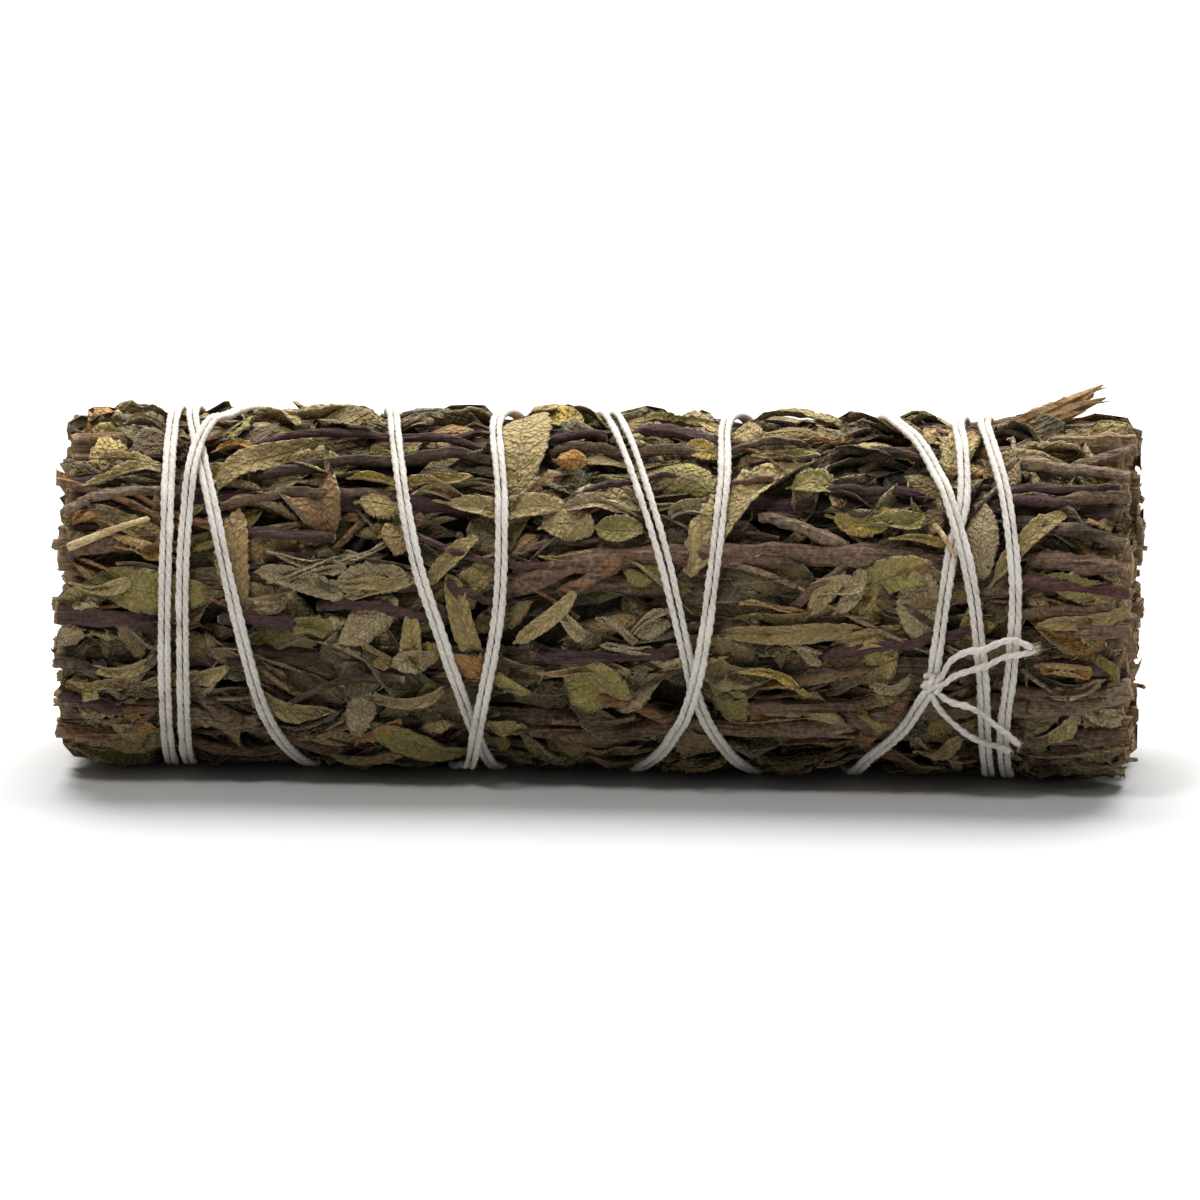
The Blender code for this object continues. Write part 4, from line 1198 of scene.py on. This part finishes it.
def loose_leaf(draw, span, angle, layer, brightness):
    """A random look for one leaf of a spray; layer 0 lies deepest and layer 2 outermost."""
    kind = draw.choice(("flat", "folded", "rolled", "crumpled", "scrap"), p=(0.27, 0.26, 0.18, 0.19, 0.10))
    look = {
        "place": draw.uniform(*span), "angle": angle + draw.uniform(-17, 17), "heading": draw.normal(0, 26),
        "length": draw.uniform(7, 15), "width": draw.uniform(2.8, 5.6), "fold": draw.uniform(-0.5, 0.6),
        "roll": draw.uniform(-0.9, 0.9), "bend": draw.uniform(-0.3, 0.3), "twist": draw.normal(0, 0.7),
        "tilt": draw.normal(0, 0.3), "sway": draw.uniform(-0.5, 0.5), "crumple": 0.14,
        "uneven": draw.uniform(0.6, 1.6), "widest": draw.uniform(0.7, 1.1), "blunt": draw.uniform(0.6, 0.9),
        "stalk": draw.uniform(0.05, 0.2),
    }
    if kind == "folded":
        look.update(fold=draw.choice((-1, 1)) * draw.uniform(0.9, 1.35), roll=draw.uniform(-0.5, 0.5))
    elif kind == "rolled":
        look.update(roll=draw.choice((-1, 1)) * draw.uniform(1.6, 3.2), fold=draw.uniform(-0.2, 0.2))
    elif kind == "crumpled":
        look.update(length=draw.uniform(6, 10), width=draw.uniform(4.5, 7), crumple=0.34,
                    bend=draw.uniform(-0.9, 0.9), heading=draw.uniform(-90, 90), roll=draw.uniform(-1.6, 1.6))
    elif kind == "scrap":
        look.update(length=draw.uniform(3, 6), width=draw.uniform(1.2, 2.8), heading=draw.uniform(-90, 90),
                    stalk=0.02)
    if draw.random() < 0.5:
        look["heading"] += 180
    look["radius"] = LAYER_RADII[layer] + draw.uniform(-0.45, 0.45)
    if layer == 0:
        look["width"] *= 1.25
        look["length"] *= 1.15
    edge = 49.4 - look["length"] * 0.36
    look["place"] = float(np.clip(look["place"], -edge, edge))
    colour = np.array(LEAF_TONES[choose(draw, LEAF_TONES)][0])
    # Each leaf's tone is scaled by its layer: painted shade on the deep layers and painted light on the outer
    # one.
    look["tone"] = colour * brightness * draw.uniform(0.8, 1.2) * LAYER_PAINTED_LIGHT[layer]
    return look


class SAGE_OT_lay_leaves(bpy.types.Operator):
    """Lay the dried leaves over the bunch, one piece for each spray"""

    bl_idname = "sage.lay_leaves"
    bl_label = "Lay Leaves"

    def execute(self, context):
        draw = np.random.default_rng(SEEDS["leaves"])
        blade = Blade(8, 8)
        sizes = context.scene.sage_sizes
        brightness = context.scene.sage_colours.leaf_brightness
        cover = twig_cover()
        sprays = sorted(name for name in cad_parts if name.startswith("leaf_spray"))
        for name in sprays:
            number = int(name[-2:]) - 1
            low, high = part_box(name)
            span = (low.x / MM, high.x / MM)
            angle = 30 * (number // 2)
            growth = Growth()
            count = max(6, round(sizes.leaves_per_gap * (span[1] - span[0]) / GAP_LENGTH))
            for i in range(count):
                layer = (0, 1, 0, 1, 2)[i % 5]
                look = loose_leaf(draw, span, angle, layer, brightness)
                arc = math.radians(look["angle"]) * LEAF_RADIUS
                away = np.hypot((cover[:, 0] - look["place"]) * 0.6,
                                (cover[:, 1] - arc + ROUND / 2) % ROUND - ROUND / 2) - cover[:, 2]
                if layer and away.min() < 0.9:
                    look["radius"] -= 0.9
                points, plan, under = shape_leaf(blade, look, draw)
                growth.add(points, blade.faces, look["tone"], plan, under=under)
            slot = "grey_leaf" if (number + 1) % 3 == 0 else "green_leaf"
            growth.finish(name + "_leaves", slot, [finishes[slot]], (name,))
        return {"FINISHED"}


class SAGE_OT_lay_show_leaves(bpy.types.Operator):
    """Lay the leaves with toothed edges that show on the outside"""

    bl_idname = "sage.lay_show_leaves"
    bl_label = "Lay Show Leaves"

    def execute(self, context):
        draw = np.random.default_rng(SEEDS["show_leaves"])
        blade = Blade(12, 30)
        brightness = context.scene.sage_colours.leaf_brightness
        parts = {"green_leaf": Growth(), "grey_leaf": Growth()}
        for tone, base, tip, width, fold, roll in LAID_LEAVES:
            run = tip[0] - base[0]
            arc = math.radians(tip[1] - base[1]) * LEAF_RADIUS
            look = {
                "place": (base[0] + tip[0]) / 2, "angle": (base[1] + tip[1]) / 2, "width": width,
                "fold": fold * 1.25, "roll": roll * 1.25, "heading": math.degrees(math.atan2(arc, run)),
                "length": math.hypot(run, arc) * 1.05, "radius": 16.15 + draw.uniform(-0.2, 0.3),
                "bend": draw.uniform(-0.3, 0.22), "twist": draw.normal(0, 0.6), "tilt": draw.normal(0, 0.22),
                "sway": draw.uniform(-0.4, 0.4), "crumple": 0.06 + 0.02 * width, "wave": 0.2,
                "uneven": draw.uniform(0.7, 1.4), "widest": draw.uniform(0.75, 1.0),
                "blunt": draw.uniform(0.55, 0.75), "stalk": draw.uniform(0.06, 0.16), "teeth": 10,
                "thickness": 0.22,
            }
            points, plan, under = shape_leaf(blade, look, draw)
            # Show leaves lie outermost, and their tone is raised 1.35 to 1.75 times: painted light where the
            # lamps fall on them.
            colour = np.array(LEAF_TONES[tone][0]) * brightness * draw.uniform(1.35, 1.75)
            part = parts["grey_leaf" if tone == "grey" else "green_leaf"]
            part.add(points, blade.faces, colour, plan, under=under)
        for slot, part in parts.items():
            part.finish("show_leaves_" + slot.split("_")[0], slot, [finishes[slot]])
        return {"FINISHED"}


class SAGE_OT_scatter_stalks(bpy.types.Operator):
    """Scatter thin leaf stalks and broken tips over the bunch"""

    bl_idname = "sage.scatter_stalks"
    bl_label = "Scatter Stalks"

    def execute(self, context):
        draw = np.random.default_rng(SEEDS["stalks"])
        blank = make_stalk_blank(6, 12)
        kinds = ("brown", "purple", "dark", "grey", "rust", "pale", "brown", "purple")
        growth = Growth()
        for number in range(context.scene.sage_sizes.loose_stalks):
            half = draw.uniform(0.14, 0.36)
            length = draw.uniform(4, 15)
            heading = math.radians(draw.normal(0, 24))
            curve = draw.normal(0, 0.7)
            share = np.linspace(-0.5, 0.5, 13)
            turned = heading + curve * share
            s = np.concatenate(([0], np.cumsum(np.cos((turned[1:] + turned[:-1]) / 2)))) * length / 12
            t = np.concatenate(([0], np.cumsum(np.sin((turned[1:] + turned[:-1]) / 2)))) * length / 12
            middle = draw.uniform(-46, 46)
            along = np.clip(middle + s - s.mean(), -49.8, 49.8)
            angle = draw.uniform(0, FULL_TURN) + np.degrees((t - t.mean()) / LEAF_RADIUS)
            high = draw.uniform(14.6, 16.4) + draw.uniform(-0.9, 0.3) * (2 * share) ** 2
            high = pressed(along, angle, high)
            centres = settled(place(along, angle, high), lowest=half)
            halves = half * (1 + draw.uniform(-0.4, 0.4) * 2 * share)
            shaped, plan, heart = bend_stalk(blank, centres, outward(angle), halves, draw, 0.07, (), 0.1)
            tone = np.array(TWIG_TONES[kinds[number % len(kinds)]]) * draw.uniform(0.8, 1.4)
            growth.add(settled(shaped, 0.02, 0.1), blank[1], tone, plan, blank[2], heart=heart)
        growth.finish("loose_stalks", "bark", [finishes["bark"], finishes["cut_wood"]], crease=SHARP_EDGE)
        return {"FINISHED"}


class SAGE_OT_fill_ends(bpy.types.Operator):
    """Fill both ends between the cut stems with thin stubs and crushed leaves"""

    bl_idname = "sage.fill_ends"
    bl_label = "Fill Ends"

    def execute(self, context):
        draw = np.random.default_rng(SEEDS["ends"])
        for side, name in ((-1, "left"), (1, "right")):
            self.plant_stubs(side, "end_stubs_" + name, draw)
            self.tuck_leaves(side, "end_leaves_" + name, draw, context.scene.sage_colours.leaf_brightness)
        return {"FINISHED"}

    def plant_stubs(self, side, name, draw):
        """Thin cut stubs in the room that the stems leave."""
        blank = make_stalk_blank(8, 4)
        taken = []
        for node_name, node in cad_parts.items():
            if "_stem" in node_name:
                centres, sizes = stem_stations(node)
                taken.append((*centres[-1 if side > 0 else 0][1:], sizes.max()))
        growth = Growth()
        kinds = ("brown", "grey", "dark", "purple", "red")
        for number in range(STUB_TRIES):
            half = draw.uniform(0.32, 1.0)
            spot = place(0, draw.uniform(0, FULL_TURN), 14.6 * math.sqrt(draw.uniform(0, 1)))[1:]
            if any(math.hypot(spot[0] - y, spot[1] - z) < half + reach + 0.12 for y, z, reach in taken):
                continue
            taken.append((*spot, half))
            along = side * np.linspace(42, draw.uniform(46.9, 49.5), 5)
            lean = draw.normal(0, 0.35, 2)
            share = np.linspace(1, 0, 5)
            centres = np.stack((along, spot[0] + lean[0] * share, spot[1] + lean[1] * share), -1)
            away = np.tile((0, 0, 1.0), (5, 1))
            shaped, plan, heart = bend_stalk(blank, centres, away, np.full(5, half), draw, 0.05, (), 0.25)
            tone = np.array(TWIG_TONES[kinds[number % len(kinds)]])
            growth.add(settled(shaped), blank[1], tone, plan, blank[2], heart=heart)
        growth.finish(name, "bark", [finishes["bark"], finishes["cut_wood"]], crease=SHARP_EDGE)

    def tuck_leaves(self, side, name, draw, brightness):
        """Crushed leaves whose sawn edges show at an end."""
        blade = Blade(8, 8)
        growth = Growth()
        for _ in range(END_LEAVES):
            look = loose_leaf(draw, (0, 1), 0, 1, brightness)
            look["angle"] = draw.uniform(0, FULL_TURN)
            look["length"] = draw.uniform(4, 8)
            look["width"] = draw.uniform(2.2, 5.5)
            look["heading"] = draw.normal(0, 30)
            look["roll"] = draw.choice((-1, 1)) * draw.uniform(0.4, 2.8)
            look["radius"] = 14.8 * math.sqrt(draw.uniform(0.02, 1))
            look["width"] *= LEAF_RADIUS / max(look["radius"], 5)
            look["tilt"] = draw.uniform(-1.5, 1.5)
            look["place"] = side * (49.0 - look["length"] / 2 - draw.exponential(0.6))
            points, plan, under = shape_leaf(blade, look, draw)
            # The tucked end leaves are painted 2.2 times lighter: painted light on the sawn ends, which the
            # lamps barely reach.
            growth.add(points, blade.faces, look["tone"] * 2.2, plan, under=under)
        growth.finish(name, "green_leaf", [finishes["green_leaf"]])


def sweep_strand(growth, centres, away, half, pitch, draw, tone=(1, 1, 1), sides=10):
    """A strand of two plies turned round each other, swept along a row of centres and closed at both ends."""
    tangents, across, ups = travel_frames(centres, away)
    count = len(centres)
    walked = np.concatenate(([0], np.cumsum(np.linalg.norm(np.diff(centres, axis=0), axis=1))))
    turned = 2 * math.pi * np.arange(sides) / sides
    ply = turned[None, :] + 2 * math.pi * walked[:, None] / pitch
    offset, radius = 0.30 * half, 0.76 * half
    lobes = offset * np.abs(np.cos(ply)) + np.sqrt(radius**2 - (offset * np.sin(ply)) ** 2)
    knots = np.arange(0, walked[-1] + 2, 1.7)
    slow = np.interp(walked, knots, draw.normal(1, 0.085, int((walked[-1] + 2) / 1.7) + 1))
    lobes = lobes * slow[:, None] * (1 + draw.normal(0, 0.02, lobes.shape))
    shaped = (
        centres[:, None, :] + lobes[..., None] * (np.cos(turned)[None, :, None] * across[:, None, :]
        + np.sin(turned)[None, :, None] * ups[:, None, :])
    )
    tips = centres[0] - tangents[0] * 0.1, centres[-1] + tangents[-1] * 0.1
    points = np.vstack((shaped.reshape(-1, 3), *tips))
    faces = []
    for i in range(count - 1):
        for j in range(sides):
            k = (j + 1) % sides
            faces.append((i * sides + j, i * sides + k, (i + 1) * sides + k, (i + 1) * sides + j))
    first, last = count * sides, count * sides + 1
    for j in range(sides):
        k = (j + 1) % sides
        faces.append((k, j, first))
        faces.append(((count - 1) * sides + j, (count - 1) * sides + k, last))
    # This mark says how deep each corner lies between the two plies; the cotton finish darkens it as painted
    # shade.
    hollow = np.concatenate((((half * 1.02 - lobes) / (half * 0.34)).clip(0, 1).ravel(), (0.5, 0.5)))
    growth.add(points, faces, tone, hollow=hollow)


def strand_centres(offset_side):
    """Centres and outward directions of one strand of the winding."""
    steps = int((WINDING_END - WINDING_START) / FULL_TURN * 2 * math.pi * TWINE_RADIUS / STRAND_STEP)
    travelled = np.linspace(WINDING_START, WINDING_END, steps)
    coarse = np.arange(WINDING_START, WINDING_END + 2, 2.0)
    lifts = np.interp(travelled, coarse, [twine_lift(min(t, WINDING_END)) for t in coarse])
    along = np.array([along_at(t) for t in travelled])
    radius = np.array([twine_radius(t % FULL_TURN) for t in travelled]) + TWINE_LIFT * lifts
    angle = travelled % FULL_TURN
    middle = place(along, angle, radius)
    away = outward(angle)
    across = travel_frames(middle, away)[1]
    turn, opened, joined = OPENED_TURN
    since = (travelled - FULL_TURN * turn) / joined
    share = np.clip(1 - since, 0, 1) * np.clip((since + 0.6) * 3, 0, 1)
    gap = STRANDS_APART + (opened - STRANDS_APART) * share
    return middle + across * (offset_side * gap / 2)[:, None], away


def add_fibres(growth, roots, directions, lengths, half, draw):
    """Fine cotton hairs: thin three-sided spikes that bend once."""
    for root, direction, length in zip(roots, directions, lengths):
        bent = direction + draw.normal(0, 0.5, 3)
        bent /= np.linalg.norm(bent)
        side = np.cross(direction, (0.3, 0.5, 0.8))
        side /= np.linalg.norm(side)
        other = np.cross(direction, side)
        knee = root + direction * length * 0.5
        tip = knee + bent * length * 0.5
        base = [root + half * (math.cos(a) * side + math.sin(a) * other) for a in HAIR_CORNERS]
        mid = [knee + half * 0.8 * (math.cos(a) * side + math.sin(a) * other) for a in HAIR_CORNERS]
        points = np.array(base + mid + [tip])
        faces = [(2, 1, 0), (0, 1, 4, 3), (1, 2, 5, 4), (2, 0, 3, 5), (3, 4, 6), (4, 5, 6), (5, 3, 6)]
        growth.add(points, faces, (1, 1, 1))


def fray_tip(fuzz, centres, half, draw, count=22):
    """A brush of fibres at the cut end of a strand."""
    forward = centres[-1] - centres[-3]
    forward /= np.linalg.norm(forward)
    spread = forward + draw.normal(0, 0.33, (count, 3))
    spread /= np.linalg.norm(spread, axis=1)[:, None]
    roots = centres[-1] + draw.normal(0, half * 0.4, (count, 3)) - forward * 0.2
    add_fibres(fuzz, roots, spread, draw.uniform(0.5, 1.3, count), 0.032, draw)


def raise_fuzz(fuzz, centres, away, count, half, draw):
    """Fine fibres that stand off a strand all along it."""
    picks = draw.integers(1, len(centres) - 1, count)
    tangents = centres[picks + 1] - centres[picks - 1]
    tangents /= np.linalg.norm(tangents, axis=1)[:, None]
    lean = away[picks] * draw.uniform(-0.3, 1, (count, 1))
    lean += np.cross(tangents, away[picks]) * draw.normal(0, 0.8, (count, 1))
    lean += tangents * draw.normal(0, 0.9, (count, 1))
    lean /= np.linalg.norm(lean, axis=1)[:, None]
    roots = settled(centres[picks] + lean * half * 0.7)
    lean[:, 2] = np.where(roots[:, 2] < 1.5, np.abs(lean[:, 2]), lean[:, 2])
    add_fibres(fuzz, roots, lean, draw.uniform(0.25, 0.75, count), 0.014, draw)


class SAGE_OT_wind_twine(bpy.types.Operator):
    """Wind the doubled cotton twine round the bunch, with its knot, loose ends and fuzz"""

    bl_idname = "sage.wind_twine"
    bl_label = "Wind Twine"

    def execute(self, context):
        draw = np.random.default_rng(SEEDS["twine"])
        sizes = context.scene.sage_sizes
        half = sizes.strand_thickness / MM / 2
        pitch = sizes.ply_length / MM
        growth = Growth()
        fuzz = Growth()
        runs = []
        for offset_side in (-1, 1):
            centres, away = strand_centres(offset_side)
            centres += draw.normal(0, 0.012, centres.shape)
            sweep_strand(growth, centres, away, half, pitch, draw)
            runs.append((centres, away))
        for stops in LOOSE_ENDS:
            along, angle, radius = route_on_bunch(stops, LOOSE_END_STATIONS)
            centres = place(along, angle, radius)
            sweep_strand(growth, centres, outward(angle), half * 0.97, pitch, draw)
            runs.append((centres, outward(angle)))
            fray_tip(fuzz, centres, half, draw)
        self.tie_knot(growth, half, pitch, draw)
        growth.finish("wound_twine", "cotton_twine", [finishes["cotton_twine"]], ("twine",))
        total = sum(len(run[0]) for run in runs)
        for centres, away in runs:
            raise_fuzz(fuzz, centres, away, int(sizes.fuzz_fibres * len(centres) / total), half, draw)
        fuzz.finish("twine_fuzz", "cotton_twine", [finishes["cotton_twine"]])
        return {"FINISHED"}

    def tie_knot(self, growth, half, pitch, draw):
        """Two tight coiled strands at the knot."""
        angle = np.array([float(KNOT_ANGLE)])
        middle = place(np.array([KNOT_PLACE]), angle, np.array([KNOT_RADIUS - 0.1]))[0]
        up = outward(angle)[0]
        down = np.array((-0.55, 0, 0)) + np.array((0, -up[2], up[1])) * -0.83
        down /= np.linalg.norm(down)
        side = np.cross(down, up)
        for wraps, reach, shift in ((2.2, 0.62, 0.0), (1.3, 0.5, 0.25)):
            t = np.linspace(0, 1, 60)
            turned = 2 * math.pi * wraps * t + shift * 7
            centres = (
                middle + down * ((t - 0.5) * 1.25 + shift)[:, None]
                + reach * (np.cos(turned)[:, None] * up * 0.8 + np.sin(turned)[:, None] * side)
            )
            sweep_strand(growth, centres, np.tile(down, (60, 1)) + 0.01, half, pitch, draw)


# Splinters of the snapped twig: ((place, angle, radius), ...) and the half thickness on the way.
TWIG_STUMP = (
    ((30.6, 3, 13.9), (35.0, 1, 14.5), (37.5, -2, 15.2), (40.5, -6, 16.2), (42.6, -9, 17.0)),
    (0.6, 0.85, 1.05, 1.0, 0.5),
)
SPLINTERS = (
    (((36.6, -1, 15.1), (40.5, -6, 16.6), (43.2, -10, 17.9), (46.0, -14, 19.6)), (0.7, 0.95, 0.75, 0.08)),
    (((37.4, -1, 15.0), (40.5, -5, 16.2), (43.4, -9, 17.4), (46.3, -12, 18.4)), (0.7, 0.9, 0.6, 0.08)),
    (((39.0, -3, 15.9), (41.8, -8, 17.2), (44.2, -12, 18.3), (45.2, -13, 18.7)), (0.6, 0.8, 0.55, 0.25)),
    (((38.6, 2, 15.6), (41.0, 0, 16.3), (43.4, -3, 17.0), (44.6, -5, 17.3)), (0.5, 0.55, 0.35, 0.06)),
    (((40.2, -9, 16.7), (42.2, -13, 17.5), (44.4, -17, 18.4)), (0.4, 0.4, 0.06)),
    (((44.0, -12, 18.5), (45.4, -13, 19.1), (46.4, -14, 19.4)), (0.2, 0.14, 0.03)),
    (((43.6, -9, 17.5), (45.2, -10, 17.9), (46.8, -11, 18.1)), (0.18, 0.12, 0.03)),
)
STRAWS = (
    (((-47.6, 67, 16.7), (-44.0, 62, 16.95), (-40.3, 57, 16.8)), (0.4, 0.36, 0.22)),
    (((31.6, 55, 16.3), (32.6, 60, 16.9), (33.6, 66, 16.6)), (0.3, 0.26, 0.16)),
)


def tapered_splinter(growth, blank, shape, draw, roughness, slots=None, tone=(0.3, 0.2, 0.1)):
    """A thin piece of wood through given stations."""
    stops, halves = shape
    count = SPLINTER_STATIONS + 1
    along, angle, radius = route_on_bunch(stops, count)
    halves = np.interp(np.linspace(0, 1, count), np.linspace(0, 1, len(halves)), halves)
    centres = place(along, angle, radius)
    shaped, plan, heart = bend_stalk(blank, centres, outward(angle), halves, draw, roughness, (), 0.3)
    growth.add(shaped, blank[1], tone, plan, slots, heart=heart)


class SAGE_OT_snap_twig(bpy.types.Operator):
    """Make the snapped twig at the top right end, with its forked splinters"""

    bl_idname = "sage.snap_twig"
    bl_label = "Snap Twig"

    def execute(self, context):
        draw = np.random.default_rng(SEEDS["snapped_twig"])
        blank = make_stalk_blank(12, SPLINTER_STATIONS)
        growth = Growth()
        bark = [1] * len(blank[1])
        tapered_splinter(growth, blank, TWIG_STUMP, draw, 0.08, bark, (0.20, 0.125, 0.075))
        for shape in SPLINTERS:
            tapered_splinter(growth, blank, shape, draw, 0.16)
        woods = [finishes["bare_wood"], finishes["bark"]]
        growth.finish("snapped_twig", "bare_wood", woods, ("broken_twig",), SHARP_SPLINTER)
        return {"FINISHED"}


class SAGE_OT_add_straws(bpy.types.Operator):
    """Add the pale straw at the left end and the short one above the knot"""

    bl_idname = "sage.add_straws"
    bl_label = "Add Straws"

    def execute(self, context):
        draw = np.random.default_rng(SEEDS["straws"])
        blank = make_stalk_blank(12, SPLINTER_STATIONS)
        growth = Growth()
        for shape in STRAWS:
            tapered_splinter(growth, blank, shape, draw, 0.05)
        growth.finish("pale_straws", "straw", [finishes["straw"]], ("straw",))
        return {"FINISHED"}


class SAGE_OT_set_stage(bpy.types.Operator):
    """Set the pale surface, the soft lights and the camera"""

    bl_idname = "sage.set_stage"
    bl_label = "Set Stage"

    def execute(self, context):
        deselect()
        bpy.ops.mesh.primitive_plane_add(size=12, location=(0, 0, -0.0001))
        floor = context.object
        floor.name = "pale_surface"
        material, _, shader = start_material("pale_surface", 0.8)
        shader.inputs["Base Color"].default_value = context.scene.sage_colours.floor[:]
        floor.data.materials.append(material)
        self.add_light("top_light", (0.0, 0.62, 1.1), size=1.4, power=44.0)
        self.add_light("front_light", (-0.35, -0.75, 1.3), size=0.3, power=9.5)
        self.add_light("side_light", (1.3, -0.3, 0.7), size=0.6, power=2.5)
        world = bpy.data.worlds.new("soft_room")
        world.use_nodes = True
        world.node_tree.nodes["Background"].inputs["Color"].default_value = (1, 0.995, 0.985, 1)
        world.node_tree.nodes["Background"].inputs["Strength"].default_value = 0.19
        context.scene.world = world
        context.scene.view_settings.view_transform = "Standard"
        self.add_camera(context)
        return {"FINISHED"}

    def add_light(self, name, spot, size, power):
        """A round soft light aimed at the bunch."""
        deselect()
        bpy.ops.object.light_add(type="AREA", location=spot)
        light = bpy.context.object
        light.name = name
        light.data.shape = "DISK"
        light.data.size = size
        light.data.energy = power
        light.rotation_euler = (Vector(BUNCH_CENTRE) - Vector(spot)).to_track_quat("-Z", "Y").to_euler()

    def add_camera(self, context):
        """A long lens, a little above the bunch and a little towards its knotted end."""
        distance, azimuth, elevation = 1.6, math.radians(4.2), math.radians(12)
        sensor, view_width = 36, 0.1106
        target = Vector((0, 0, 0.0155))
        offset = Vector((math.sin(azimuth) * math.cos(elevation), -math.cos(azimuth) * math.cos(elevation),
                         math.sin(elevation)))
        camera = bpy.data.cameras.new("camera")
        camera.sensor_width = sensor
        camera.lens = sensor * distance / view_width
        camera.clip_end = 20
        holder = bpy.data.objects.new("camera", camera)
        holder.location = target + offset * distance
        holder.rotation_euler = (-offset).to_track_quat("-Z", "Y").to_euler()
        context.scene.collection.objects.link(holder)
        context.scene.camera = holder


STEPS = (
    "sage.mix_finishes", "sage.set_stage", "sage.pack_filling", "sage.grow_stems", "sage.lay_outside_twigs",
    "sage.lay_leaves", "sage.lay_show_leaves", "sage.scatter_stalks", "sage.fill_ends", "sage.wind_twine",
    "sage.snap_twig", "sage.add_straws",
)


class SAGE_PT_bunch(bpy.types.Panel):
    """Lists the steps that build the bunch"""

    bl_idname = "SAGE_PT_bunch"
    bl_label = "Sage Bunch"
    bl_space_type = "VIEW_3D"
    bl_region_type = "UI"
    bl_category = "Sage Bunch"

    def draw(self, context):
        for settings in (context.scene.sage_sizes, context.scene.sage_colours):
            box = self.layout.box()
            for name in settings.bl_rna.properties.keys():
                if name not in ("rna_type", "name"):
                    box.prop(settings, name)
        for step in STEPS:
            self.layout.operator(step)


CLASSES = (
    SageBunchSizes, SageBunchColours, SAGE_OT_mix_finishes, SAGE_OT_set_stage, SAGE_OT_pack_filling,
    SAGE_OT_grow_stems, SAGE_OT_lay_outside_twigs, SAGE_OT_lay_leaves, SAGE_OT_lay_show_leaves,
    SAGE_OT_scatter_stalks, SAGE_OT_fill_ends, SAGE_OT_wind_twine, SAGE_OT_snap_twig, SAGE_OT_add_straws,
    SAGE_PT_bunch,
)


def register():
    """Adds the classes and the settings to the program."""
    for kind in CLASSES:
        bpy.utils.register_class(kind)
    bpy.types.Scene.sage_sizes = bpy.props.PointerProperty(type=SageBunchSizes)
    bpy.types.Scene.sage_colours = bpy.props.PointerProperty(type=SageBunchColours)


def unregister():
    """Takes the settings and the classes away again."""
    del bpy.types.Scene.sage_colours
    del bpy.types.Scene.sage_sizes
    for kind in reversed(CLASSES):
        bpy.utils.unregister_class(kind)


def main():
    """Builds the bunch and its stage."""
    register()
    bpy.ops.sage.mix_finishes()
    bpy.ops.sage.set_stage()
    bpy.ops.sage.pack_filling()
    bpy.ops.sage.grow_stems()
    bpy.ops.sage.lay_outside_twigs()
    bpy.ops.sage.lay_leaves()
    bpy.ops.sage.lay_show_leaves()
    bpy.ops.sage.scatter_stalks()
    bpy.ops.sage.fill_ends()
    bpy.ops.sage.wind_twine()
    bpy.ops.sage.snap_twig()
    bpy.ops.sage.add_straws()


if __name__ == "__main__":
    main()
